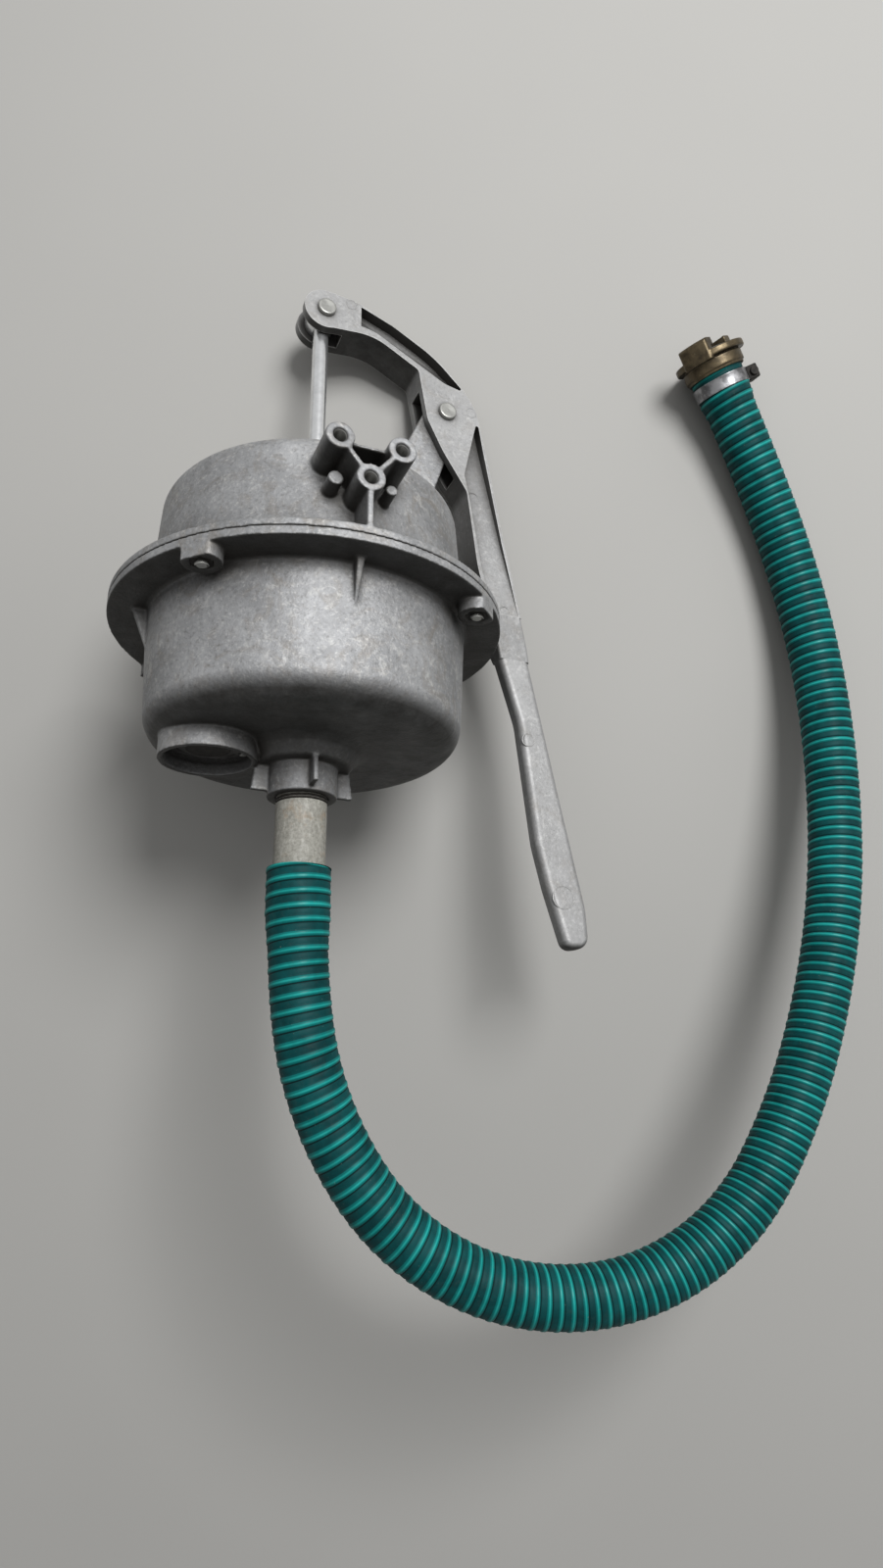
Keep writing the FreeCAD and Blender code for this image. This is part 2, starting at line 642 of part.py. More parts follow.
def sloped_pocket(outline, crease, reach, side):
    """A pocket whose floor slopes from level at the crease line to full depth at reach."""
    face_y = side * LEVER_T / 2
    start = Vector(crease[0][0], face_y, crease[0][1])
    end = Vector(crease[1][0], face_y, crease[1][1])
    length = (end - start).Length
    along = (end - start).normalize()
    away = Vector(-along.z, 0, along.x)
    inward = Vector(0, -side, 0)
    back = start - along * length
    corners = [
        back,
        back + away * reach + inward * POCKET_DEPTH,
        back + away * (3 * reach) + inward * POCKET_DEPTH,
        back + away * (3 * reach) - inward,
        back - inward,
    ]
    wedge = Part.Face(Part.makePolygon(corners + corners[:1])).extrude(along * (3 * length))
    inner_y = face_y - side * (POCKET_DEPTH + 1)
    outer_y = face_y + side
    return slab(outline, min(inner_y, outer_y), max(inner_y, outer_y)).common(wedge)


def arm_pocket(side):
    """The pocket between the two pins."""
    return sloped_pocket([
        (29.5, 285.0, 0),
        (56.0, 275.2, 60.0),
        (90.6, 256.8, 90.0),
        (116.6, 231.0, 1.5),
        (99.0, 234.5, 20.0),
        (76.0, 246.5, 12.0),
        (41.0, 265.0, 30.0),
        (29.5, 266.5, 0),
    ], ((29.5, 252.0), (100.0, 219.0)), 26.0, side)


def shank_pocket(side):
    """The long pocket below the fulcrum; its floor rises towards the grip."""
    return sloped_pocket([
        (127.2, 209.0, 1.5),
        (131.4, 182.0, 60.0),
        (145.8, 100.0, 100.0),
        (158.0, 41.0, 0),
        (138.0, 41.0, 0),
        (128.5, 74.0, 90.0),
        (119.6, 132.0, 20.0),
        (115.2, 155.0, 14.0),
    ], ((100.0, 36.0), (160.0, 36.0)), 165.0, side)


def make_pin(x, z):
    """A headed pin across the lever, grooved for its clip."""
    half = LEVER_T / 2
    pin = cross_bar(PIN_R, -half - 1, half + PIN_TAIL, x, z)
    head = cross_bar(PIN_HEAD_R, -half - PIN_HEAD_T, -half, x, z)
    pin = pin.fuse(head)
    rim = [edge for edge in pin.Edges if abs(edge.BoundBox.YMin + half + PIN_HEAD_T) < 0.01 and edge.Closed]
    pin = pin.makeFillet(PIN_HEAD_ROUND, rim)
    return pin.cut(clip_ring(x, z, CLIP_R))


def clip_ring(x, z, outer_r):
    """A flat ring seated in the pin's groove, just behind the lever."""
    start = LEVER_T / 2 + CLIP_GAP
    ring = cross_bar(outer_r, start, start + CLIP_T, x, z)
    return ring.cut(cross_bar(PIN_R - CLIP_GROOVE_DEPTH, start - 1, start + CLIP_T + 1, x, z))


def make_clip(x, z):
    ring = clip_ring(x, z, CLIP_R)
    mouth = PIN_R - CLIP_GROOVE_DEPTH
    return ring.cut(block(x - mouth * 0.8, x + mouth * 0.8, 0, LEVER_T, z - 2 * CLIP_R, z))


def make_rod():
    """The rod with a flat eye at its top and a threaded foot."""
    foot_z = LOWER_PLATE_Z - LOWER_ROD_NUT_H - ROD_TAIL
    bar = disc(ROD_R, foot_z, ROD_PIN_Z, ROD_X)
    tip = [edge for edge in bar.Edges if edge.Closed and abs(edge.BoundBox.ZMax - foot_z) < 0.01]
    bar = bar.makeChamfer(1.0, tip)
    eye = cross_bar(ROD_EYE_R, -ROD_EYE_T / 2, ROD_EYE_T / 2, ROD_X, ROD_PIN_Z)
    hole = cross_bar(PIN_R + PIN_FIT, -ROD_EYE_T, ROD_EYE_T, ROD_X, ROD_PIN_Z)
    return bar.fuse(eye).cut(hole)


def make_rod_nut(z_low, height):
    nut = hexagon(ROD_NUT_FLATS, z_low, z_low + height, ROD_X)
    return nut.cut(disc(ROD_R + THREAD_FIT, z_low - 1, z_low + height + 1, ROD_X))


def make_plate(z_low):
    plate = disc(PLATE_R, z_low, z_low + PLATE_T, ROD_X)
    rim = [edge for edge in plate.Edges if edge.Closed and edge.BoundBox.XLength > PLATE_R]
    plate = plate.makeFillet(1.0, rim)
    return plate.cut(disc(ROD_R + THREAD_FIT, z_low - 1, z_low + PLATE_T + 1, ROD_X))


def make_diaphragm():
    """A moulded rubber disc: clamped rim, sloping wall and raised flat middle."""
    low = DIAPHRAGM_Z
    wall_r = HOUSING_TOP_R - HOUSING_WALL - DIAPHRAGM_WALL_GAP
    dish = turned([
        (0, PLATEAU_Z, 0),
        (DIAPHRAGM_FLAT_R, PLATEAU_Z, DIAPHRAGM_BEND_R),
        (wall_r, low, DIAPHRAGM_BEND_R),
        (DIAPHRAGM_R, low, 0),
        (DIAPHRAGM_R, low + DIAPHRAGM_T, 0),
        (wall_r + 1.0, low + DIAPHRAGM_T, DIAPHRAGM_BEND_R),
        (DIAPHRAGM_FLAT_R + 1.0, PLATEAU_Z + DIAPHRAGM_T, DIAPHRAGM_BEND_R),
        (0, PLATEAU_Z + DIAPHRAGM_T, 0),
    ])
    return dish.cut(disc(ROD_R + THREAD_FIT, 0, 2 * PLATEAU_Z, ROD_X))


def make_bolt(x, y):
    """A countersunk screw with a hexagon socket."""
    tip_z = -EAR_H - BOLT_TIP_BELOW_NUT
    shank = disc(BOLT_R, tip_z, FLANGE_TOP_Z - BOLT_HEAD_H, x, y)
    tip = [edge for edge in shank.Edges if edge.Closed and abs(edge.BoundBox.ZMax - tip_z) < 0.01]
    shank = shank.makeChamfer(1.0, tip)
    socket = hexagon(BOLT_SOCKET_FLATS, FLANGE_TOP_Z - BOLT_SOCKET_DEPTH, FLANGE_TOP_Z + 1, x, y)
    return shank.fuse(bolt_head_cone(x, y)).cut(socket)


def make_nut(angle, x, y):
    top = NUT_RECESS_DEPTH - EAR_H
    nut = hexagon(NUT_FLATS, top - NUT_H, top, x, y, angle)
    return nut.cut(disc(BOLT_R + THREAD_FIT, -2 * EAR_H, 0, x, y))


def make_flap(centre_x, radius, hinge_x, z_low):
    """The moving part of a rubber flap, up to its bending line."""
    plate = disc(radius, z_low, z_low + FLAP_T, centre_x)
    half = FLAP_NECK_W / 2
    return plate.fuse(block(centre_x, hinge_x, -half, half, z_low, z_low + FLAP_T))


def make_flap_weight(centre_x, radius, z_low):
    return disc(radius - FLAP_WEIGHT_MARGIN, z_low, z_low + FLAP_WEIGHT_T, centre_x)


def make_flap_tab(hinge_x, length, z_low, screws):
    """The fixed end of a flap, held by two screws."""
    half = FLAP_NECK_W / 2
    start = hinge_x + FLAP_HINGE_GAP
    tab = block(start, start + length, -half, half, z_low, z_low + FLAP_T)
    return tab.cut([disc(TAB_SCREW_R, z_low - 1, z_low + FLAP_T + 1, x, y) for x, y in screws])


def make_tab_screw(x, y, seat_z, grip_z, head_r):
    """A pan-head screw from the tab's free face at seat_z into the wall at grip_z."""
    direction = 1 if seat_z > grip_z else -1
    shank = Part.makeCylinder(TAB_SCREW_R, abs(seat_z - grip_z), Vector(x, y, grip_z), Z_AXIS * direction)
    head = Part.makeCylinder(head_r, TAB_SCREW_HEAD_H, Vector(x, y, seat_z), Z_AXIS * direction)
    return shank.fuse(head)


def make_inlet_tab_seat():
    """The spacer that brings the flap's fixed end level with the raised valve seat."""
    half = FLAP_NECK_W / 2
    start = INLET_HINGE_X + FLAP_HINGE_GAP
    seat = block(start, start + INLET_TAB_L, -half, half, FLOOR_INSIDE_Z, INLET_FLAP_Z)
    return seat.cut([disc(TAB_SCREW_R, FLOOR_INSIDE_Z - 1, INLET_FLAP_Z + 1, x, y) for x, y in INLET_SCREWS])


def make_inlet_pipe():
    top_z = BOSS_END_Z + PIPE_THREAD_DEPTH
    low_z = MOUTH_Z - PIPE_IN_HOSE
    tube = disc(PIPE_R, low_z, top_z)
    return tube.cut(disc(PIPE_R - PIPE_WALL, low_z - 1, top_z + 1))


def lying(shape, placement):
    copy = shape.copy()
    copy.transformShape(placement.toMatrix())
    return copy


def lie_rotation():
    """Lays the pump down: its axis along row Y, its bosses up, then roll and pitch."""
    onto_floor = Rotation(X_AXIS, -90)
    roll = Rotation(Y_AXIS, LIE_ROLL)
    pitch = Rotation(X_AXIS, -LIE_PITCH)
    return pitch.multiply(roll).multiply(onto_floor)


def mesh_box(shapes):
    """The true corners of some shapes, from a fine mesh of each."""
    box = FreeCAD.BoundBox()
    for shape in shapes:
        for point in shape.tessellate(0.05)[0]:
            box.add(point)
    return box


def hose_points(placement):
    mouth = placement.multVec(Vector(0, 0, MOUTH_Z))
    away = placement.Rotation.multVec(Vector(0, 0, -1))
    return [mouth, mouth + away * HOSE_FIRST_RUN] + [mouth + Vector(*step) for step in HOSE_ROUTE]


def hose_radii(points):
    radii = [0.0]
    for before, here, after in zip(points, points[1:], points[2:]):
        shorter = min((here - before).Length, (after - here).Length)
        turn = (here - before).getAngle(after - here)
        radii.append(ARC_SHARE * shorter / math.tan(turn / 2))
    radii.append(0.0)
    return radii


def swept_tube(path, radius, start, direction):
    ring = Part.Wire(Part.makeCircle(radius, start, direction))
    return Part.Wire(path).makePipeShell([ring], True, False)


def make_hose(points):
    """A plain tube along the route, wider where it is pushed over the pipe and the hose tail."""
    radii = hose_radii(points)
    path = rounded_wire(points, radii, closed=False)
    start = points[0]
    direction = (points[1] - points[0]).normalize()
    outer = swept_tube(path, HOSE_R, start, direction)
    bore = swept_tube(path, HOSE_BORE_R, start, direction)
    tube = outer.cut(bore)
    back = (points[-2] - points[-1]).normalize()
    pipe_sleeve = hose_sleeve(start, direction, HOSE_SLEEVE_R, HOSE_SLEEVE_LENGTH, HOSE_SLEEVE_TAPER)
    tail_sleeve = hose_sleeve(points[-1], back, HOSE_END_R, HOSE_END_LENGTH, HOSE_END_TAPER)
    pipe_space = Part.makeCylinder(PIPE_R, PIPE_IN_HOSE, start, direction)
    tail_space = Part.makeCone(TAIL_R, TAIL_TIP_R, TAIL_LENGTH, points[-1], back)
    section = math.pi * (HOSE_R ** 2 - HOSE_BORE_R ** 2)
    bends = [round(radius) for radius in radii[1:-1]]
    print("hose length", round(path.Length), "bend radii", bends)
    print("hose volume share", round(tube.Volume / (section * path.Length), 4))
    return tube.multiFuse([pipe_sleeve, tail_sleeve]).cut([pipe_space, tail_space])


def hose_sleeve(start, direction, radius, length, taper_length):
    """The stretch of hose that is widened by the pipe or hose tail inside it."""
    sleeve = Part.makeCylinder(radius, length, start, direction)
    taper = Part.makeCone(radius, HOSE_R, taper_length, start + direction * length, direction)
    bore = Part.makeCylinder(HOSE_BORE_R, 2 * length, start, direction)
    return sleeve.fuse(taper).cut(bore)


def coupling_frame(points):
    """Z out of the hose along its last run, Y up and X to the left, from the hose's end."""
    out = (points[-1] - points[-2]).normalize()
    side = Z_AXIS.cross(out).normalize()
    up = out.cross(side)
    matrix = Matrix(side.x, up.x, out.x, points[-1].x,
                    side.y, up.y, out.y, points[-1].y,
                    side.z, up.z, out.z, points[-1].z,
                    0, 0, 0, 1)
    return Placement(matrix)


def make_coupling():
    """Brass hose tail, collar and claw plate with its two hooked claws."""
    plate_z = COLLAR_LENGTH + PLATE_NECK_LENGTH
    top_z = plate_z + CLAW_PLATE_T
    body = turned([
        (0, -TAIL_LENGTH, 0),
        (TAIL_TIP_R, -TAIL_LENGTH, 0),
        (TAIL_R, 0, 0),
        (COLLAR_LIP_R, 0, 0.6),
        (COLLAR_LIP_R, COLLAR_LIP, 0),
        (COLLAR_R, COLLAR_LIP, 0.6),
        (COLLAR_R, COLLAR_LENGTH, 1.0),
        (PLATE_NECK_R, COLLAR_LENGTH, 0),
        (PLATE_NECK_R, plate_z, 0),
        (CLAW_PLATE_R, plate_z, 1.0),
        (CLAW_PLATE_R, top_z, 1.0),
        (0, top_z, 0),
    ])
    claws = [claw(CLAW_TURN), claw(CLAW_TURN + 180)]
    gasket_seat = disc(GASKET_R, top_z - GASKET_T + GASKET_PROUD, top_z + 1)
    bore = disc(TAIL_BORE_R, -TAIL_LENGTH - 1, top_z + 1)
    return body.multiFuse(claws).cut([gasket_seat, bore])


def claw(turn):
    """One claw: a rounded block on the plate's edge that hooks inwards above it."""
    half = CLAW_WIDTH / 2
    end_z = CLAW_FOOT + CLAW_LENGTH
    reach = block(-half, half, 0, 2 * CLAW_OUTER_R, CLAW_FOOT, end_z)
    ring = disc(CLAW_OUTER_R, CLAW_FOOT, end_z).cut(disc(CLAW_INNER_R, CLAW_FOOT, end_z))
    lug = ring.common(reach)
    rounded = [edge for edge in lug.Edges if on_claw_outside(edge)]
    lug = lug.makeFillet(CLAW_ROUND, rounded)
    top_z = COLLAR_LENGTH + PLATE_NECK_LENGTH + CLAW_PLATE_T
    mouth = disc(CLAW_INNER_R + CLAW_HOOK_DEPTH, top_z, end_z - CLAW_HOOK_T)
    return about_axis(lug.cut(mouth), turn)


def on_claw_outside(edge):
    """True for the claw's outer edges, but not for the arc at its foot."""
    middle = edge.BoundBox.Center
    outside = all(math.hypot(v.X, v.Y) > CLAW_OUTER_R - 0.01 for v in edge.Vertexes)
    return outside and middle.z > CLAW_FOOT + 0.01


def make_gasket():
    top_z = COLLAR_LENGTH + PLATE_NECK_LENGTH + CLAW_PLATE_T + GASKET_PROUD
    return disc(GASKET_R, top_z - GASKET_T, top_z).cut(disc(GASKET_BORE_R, 0, top_z + 1))


def make_clamp_band():
    low = -BAND_SETBACK - BAND_W
    band = disc(HOSE_END_R + BAND_T, low, -BAND_SETBACK)
    return band.cut(disc(HOSE_END_R, low - 1, 0))


def make_clamp_housing():
    """The worm housing that stands on the band, bored for its screw."""
    start = HOSE_END_R + BAND_T
    middle_z = -BAND_SETBACK - BAND_W / 2
    size = CLAMP_HOUSING
    box = block(-size.z / 2, size.z / 2, start - CLAMP_HOUSING_SUNK, start + size.y,
                middle_z - size.x / 2, middle_z + size.x / 2)
    box = box.makeFillet(CLAMP_EDGE_ROUND, box.Edges)
    screw_y = start + size.y / 2
    bore = Part.makeCylinder(CLAMP_SCREW_R, 2 * size.z, Vector(-size.z, screw_y, middle_z), X_AXIS)
    return about_axis(box.cut([bore, disc(start, -2 * size.x, 0)]), CLAMP_TURN)


def make_clamp_screw():
    """The worm screw with its slotted hexagon head."""
    middle_z = -BAND_SETBACK - BAND_W / 2
    screw_y = HOSE_END_R + BAND_T + CLAMP_HOUSING.y / 2
    half = CLAMP_HOUSING.z / 2
    shank = disc(CLAMP_SCREW_R, -half, half + CLAMP_SCREW_OVERHANG)
    head = hexagon(CLAMP_HEAD_FLATS, -half - CLAMP_HEAD_H, -half)
    slot_half = CLAMP_SLOT_W / 2
    head_end = -half - CLAMP_HEAD_H
    slot = block(-CLAMP_HEAD_FLATS, CLAMP_HEAD_FLATS, -slot_half, slot_half, head_end - 1, head_end + 2)
    screw = shank.fuse(head).cut(slot)
    screw.rotate(Vector(0, 0, 0), Y_AXIS, 90)
    screw.translate(Vector(0, screw_y, middle_z))
    return about_axis(screw, CLAMP_TURN)


def pump_pieces():
    """Every piece of the pump itself, in the pump's own frame."""
    pieces = {
        "lower_housing": make_lower_housing(),
        "top_cover": make_top_cover(),
        "diaphragm": make_diaphragm(),
        "inlet_pipe": make_inlet_pipe(),
        "lever": make_lever(),
        "fulcrum_pin": make_pin(FULCRUM_X, FULCRUM_Z),
        "fulcrum_clip": make_clip(FULCRUM_X, FULCRUM_Z),
        "rod_pin": make_pin(ROD_X, ROD_PIN_Z),
        "rod_clip": make_clip(ROD_X, ROD_PIN_Z),
        "diaphragm_rod": make_rod(),
        "upper_plate": make_plate(UPPER_PLATE_Z),
        "lower_plate": make_plate(LOWER_PLATE_Z),
        "upper_rod_nut": make_rod_nut(UPPER_PLATE_Z + PLATE_T, UPPER_ROD_NUT_H),
        "lower_rod_nut": make_rod_nut(LOWER_PLATE_Z - LOWER_ROD_NUT_H, LOWER_ROD_NUT_H),
        "inlet_flap": make_flap(0.0, INLET_FLAP_R, INLET_HINGE_X, INLET_FLAP_Z),
        "inlet_flap_weight": make_flap_weight(0.0, INLET_FLAP_R, INLET_FLAP_Z + FLAP_T),
        "inlet_flap_tab": make_flap_tab(INLET_HINGE_X, INLET_TAB_L, INLET_FLAP_Z, INLET_SCREWS),
        "inlet_tab_seat": make_inlet_tab_seat(),
        "outlet_flap": make_flap(SPIGOT_X, OUTLET_FLAP_R, OUTLET_HINGE_X, OUTLET_FLAP_Z),
        "outlet_flap_weight": make_flap_weight(SPIGOT_X, OUTLET_FLAP_R, OUTLET_FLAP_Z - FLAP_WEIGHT_T),
        "outlet_flap_tab": make_flap_tab(OUTLET_HINGE_X, OUTLET_TAB_L, OUTLET_FLAP_Z, OUTLET_SCREWS),
    }
    for number, (angle, x, y) in enumerate(bolt_places(), 1):
        pieces[f"flange_bolt_{number}"] = make_bolt(x, y)
        pieces[f"flange_nut_{number}"] = make_nut(angle, x, y)
    for number, (x, y) in enumerate(INLET_SCREWS, 1):
        seat_z = INLET_FLAP_Z + FLAP_T
        grip_z = FLOOR_INSIDE_Z - TAB_SCREW_GRIP
        pieces[f"inlet_tab_screw_{number}"] = make_tab_screw(x, y, seat_z, grip_z, TAB_SCREW_HEAD_R)
    for number, (x, y) in enumerate(OUTLET_SCREWS, 1):
        grip_z = TAB_SCREW_GRIP - HOUSING_DEPTH
        screw = make_tab_screw(x, y, OUTLET_FLAP_Z, grip_z, OUTLET_SCREW_HEAD_R)
        pieces[f"outlet_tab_screw_{number}"] = screw
    return pieces


def hose_pieces(placement):
    points = hose_points(placement)
    frame = coupling_frame(points)
    print("hose route", [[round(value, 2) for value in point] for point in points])
    return {
        "hose": make_hose(points),
        "hose_clamp_band": lying(make_clamp_band(), frame),
        "hose_clamp_housing": lying(make_clamp_housing(), frame),
        "hose_clamp_screw": lying(make_clamp_screw(), frame),
        "hose_coupling": lying(make_coupling(), frame),
        "coupling_gasket": lying(make_gasket(), frame),
    }


def main():
    upright = pump_pieces()
    rotation = lie_rotation()
    turned_only = Placement(Vector(0, 0, 0), rotation)
    box = mesh_box([lying(shape, turned_only) for shape in upright.values()])
    shift = Vector(-box.Center.x, -box.Center.y, -box.ZMin)
    placement = Placement(shift, rotation)
    pieces = {name: lying(shape, placement) for name, shape in upright.items()}
    pieces.update(hose_pieces(placement))
    os.makedirs("parts", exist_ok=True)
    for name, shape in pieces.items():
        shape.exportStep(f"parts/{name}.step")
    print("pump origin", [round(value, 3) for value in shift], "pieces", len(pieces))


main()
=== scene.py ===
"""The look of the hand pump: its finishes, rounded castings, ribbed hose and small details."""

import json
import math

import bmesh
import bpy
import numpy as np
from mathutils import Matrix, Vector
from mathutils.bvhtree import BVHTree

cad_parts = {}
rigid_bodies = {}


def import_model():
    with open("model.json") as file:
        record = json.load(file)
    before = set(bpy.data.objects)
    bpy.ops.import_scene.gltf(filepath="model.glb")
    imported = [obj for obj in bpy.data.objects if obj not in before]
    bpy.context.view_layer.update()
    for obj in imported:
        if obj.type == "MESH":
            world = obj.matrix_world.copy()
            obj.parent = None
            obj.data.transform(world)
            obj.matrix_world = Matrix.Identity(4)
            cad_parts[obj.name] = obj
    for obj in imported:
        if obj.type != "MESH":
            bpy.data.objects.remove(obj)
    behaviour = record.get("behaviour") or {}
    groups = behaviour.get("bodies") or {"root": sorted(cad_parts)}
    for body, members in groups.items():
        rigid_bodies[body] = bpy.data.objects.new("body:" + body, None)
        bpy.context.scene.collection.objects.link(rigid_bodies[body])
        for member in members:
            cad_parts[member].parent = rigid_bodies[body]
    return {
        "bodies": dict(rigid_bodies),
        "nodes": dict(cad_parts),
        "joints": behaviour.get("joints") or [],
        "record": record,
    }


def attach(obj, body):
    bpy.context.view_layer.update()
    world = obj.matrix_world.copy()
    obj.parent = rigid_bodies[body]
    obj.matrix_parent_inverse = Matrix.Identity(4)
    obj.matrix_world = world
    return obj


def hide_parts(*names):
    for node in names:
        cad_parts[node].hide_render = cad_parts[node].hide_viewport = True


MM = 0.001

# The pump's own frame as it lies on the floor: its axis along Z, its bosses towards -Y
PUMP_ORIGIN = Vector((-0.030363, -0.029371, 0.129869))
LIE_PITCH = math.radians(18.8)
LIE_ROLL = math.radians(23)
PUMP = (
    Matrix.Translation(PUMP_ORIGIN)
    @ Matrix.Rotation(-LIE_PITCH, 4, "X")
    @ Matrix.Rotation(LIE_ROLL, 4, "Y")
    @ Matrix.Rotation(math.radians(-90), 4, "X")
)

# Camera, as the photograph was taken
CAMERA_PLACE = Vector((0.062406, -0.126398, 0.844380))
CAMERA_RIGHT = Vector((0.999967, -0.008129, -0.000901))
CAMERA_UP = Vector((0.008123, 0.999945, -0.006591))
CAMERA_LENS = 23.625
CAMERA_SENSOR = 36.0

# Light
KEY_PLACE = Vector((0.80, 1.05, 1.90))
KEY_TARGET = Vector((0.05, -0.08, 0.05))
KEY_SIZE = 1.0
KEY_POWER = 56.0
SKY_DARK_SIDE = 0.03
SKY_BRIGHT_SIDE = 0.62
SKY_TOWARDS = (0.25, 0.62, 0.74)
SKY_FADE_START = -0.15
SKY_SEEN = 0.55
FLOOR_SIZE = 12.0
FLOOR_COLOUR = (0.38, 0.375, 0.36)
FLOOR_TONE = 1.03

# Hose, with the points of its route
HOSE_ROUTE = [
    (-0.03036, -0.18509, 0.18288),
    (-0.03036, -0.26177, 0.20898),
    (-0.01136, -0.34109, 0.21788),
    (0.03364, -0.40909, 0.22088),
    (0.10464, -0.44909, 0.21388),
    (0.18464, -0.45209, 0.19888),
    (0.25464, -0.41809, 0.17488),
    (0.29964, -0.35409, 0.14688),
    (0.33064, -0.28209, 0.11788),
    (0.35064, -0.20909, 0.08888),
    (0.35964, -0.13309, 0.06188),
    (0.35964, -0.05509, 0.03688),
    (0.34764, 0.02191, 0.02188),
    (0.31964, 0.10891, 0.01888),
    (0.28204, 0.18991, 0.02728),
]
ROUTE_STEPS = 48
ROUTE_ORDER = 3
HOSE_R = 19.3 * MM
HOSE_SLEEVE_R = 21.0 * MM
HOSE_SLEEVE_LENGTH = 30.0 * MM
HOSE_SLEEVE_TAPER = 24.0 * MM
HOSE_END_R = 20.7 * MM
HOSE_END_LENGTH = 21.0 * MM
HOSE_END_TAPER = 9.0 * MM
HOSE_MOUTH_R = 17.0 * MM
HOSE_MOUTH_DEPTH = 8.0 * MM
HOSE_SIDES = 56

# The cut ends of the hose
LIP_DEPTH = 1.2 * MM
LIP_ROUND = 0.5 * MM
LIP_CHAMFER = 0.4 * MM

# Ribs: distance along the hose (m) and pitch (mm), then shares of one pitch
RIB_PITCHES = [(0.0, 8.9), (0.22, 8.9), (0.44, 6.7), (0.56, 6.8), (0.94, 8.3)]
PITCH_SAMPLES = 600
RIB_SHARE = 0.44
GROOVE_SHARE = 0.09
WALL_END_SHARE = 0.985
RIB_HEIGHT = 0.6 * MM
RIB_BREADTH = 2.6
RIB_ROUNDNESS = 0.7
RIB_STEPS = 8
GROOVE_DEPTH = 0.25 * MM
WALL_BULGE = 0.18 * MM
WALL_STEPS = 5

# Clamp band
BAND_W = 10.0 * MM
BAND_SETBACK = 4.5 * MM
BAND_T = 0.8 * MM
BAND_LIP = 0.6 * MM
BAND_ROUND = 0.25 * MM
BAND_BITE = 0.2 * MM
BAND_SIDES = 120

# Castings: size of the grid that rounds them, and how much they are smoothed
BODY_GRID = 0.85 * MM
COUPLING_GRID = 0.45 * MM
CAST_RELAX = 4
RELAX_STRENGTH = 0.5
FACE_SHARE = 0.45

# Thread ridges: half their width at the foot and at the crest, as shares of the pitch
THREAD_FOOT = 0.46
THREAD_CREST = 0.06

# Holes in the mounting bosses, in the pump's frame
MOUNT_THREAD_Y = -132.8
MOUNT_PLACES = [(-19.8, 68.7), (19.8, 68.7), (0.0, 44.5)]
MOUNT_HOLE_R = 4.25
MOUNT_THREAD_PITCH = 1.5
MOUNT_THREAD_HEIGHT = 0.42
MOUNT_THREAD_LENGTH = 24.0

# Round marks on the lever: x, z and radius in the pump's frame
LEVER_MARKS = [
    (21.6, 284.4, 4.5),
    (122.3, 213.7, 4.6),
    (125.1, 140.0, 4.6),
    (146.6, 43.1, 4.6),
    (166.3, -54.5, 5.2),
    (189.7, -169.8, 8.6),
]
MARK_HEIGHT = 0.22 * MM
MARK_WIDTH = 0.8 * MM
MARK_SECTION = ((1.0, -1.0), (0.75, 0.8), (0.5, 1.0), (0.25, 0.8), (0.0, -1.0))
IN_FRONT_Y = -200.0

# Pins: x and z of their axes, and their heads
PIN_PLACES = {"fulcrum_pin": (101.0, 207.8), "rod_pin": (1.5, 273.5)}
PIN_HEAD_Y = -17.4
PIN_FACE_R = 6.1 * MM
PIN_RIM_DROP = 0.15 * MM
PIN_RINGS = 9
PIN_RINGS_R = 5.8 * MM
PIN_RING_WIDTH = 0.22 * MM
PIN_RING_RISE = 0.05 * MM
PIN_CENTRE_R = 0.5 * MM
PIN_CENTRE_DEPTH = 0.25 * MM
PIN_TIP_R = 0.001 * MM

# Thread of the suction pipe where it enters its boss, in the pump's frame
PIPE_R = 16.9
PIPE_THREAD_TOP = -117.2
PIPE_THREAD_LENGTH = 3.6
PIPE_THREAD_PITCH = 1.8
PIPE_THREAD_HEIGHT = 0.7

# Screw ends that show in the ears, in the pump's frame
BOLT_CIRCLE_R = 125.0
BOLT_ANGLES = (45.0, 135.0, 225.0, 315.0)
BOLT_R = 4.0
BOLT_TIP_Z = -10.4
BOLT_THREAD_PITCH = 1.25
BOLT_THREAD_HEIGHT = 0.35
BOLT_THREAD_LENGTH = 1.3

# Gussets under the flange, in the pump's frame: each thins towards its foot, to the share below
GUSSET_ANGLES = (0.0, 90.0, 180.0, 270.0)
GUSSET_HALF = 2.5
GUSSET_SLACK = 0.6
GUSSET_ROOT_R = 107.6
GUSSET_TOP_Z = -0.5
GUSSET_END_Z = -32.0
GUSSET_DROP = 30.0
GUSSET_FOOT_SHARE = 0.25

# Sockets of the mix node, which has one set for numbers and another for colours
MIX_SHARE = 0
MIX_NUMBERS = (2, 3)
MIX_NUMBER_OUT = 0
MIX_COLOURS = (6, 7)
MIX_COLOUR_OUT = 2
SHADER_SAMPLES = 6

MERGE_DISTANCE = 1e-6

# Nodes that stay as they are and have the near-black metal finish
DARK_NODES = ("hose_clamp_housing", "hose_clamp_screw", "outlet_flap_weight")


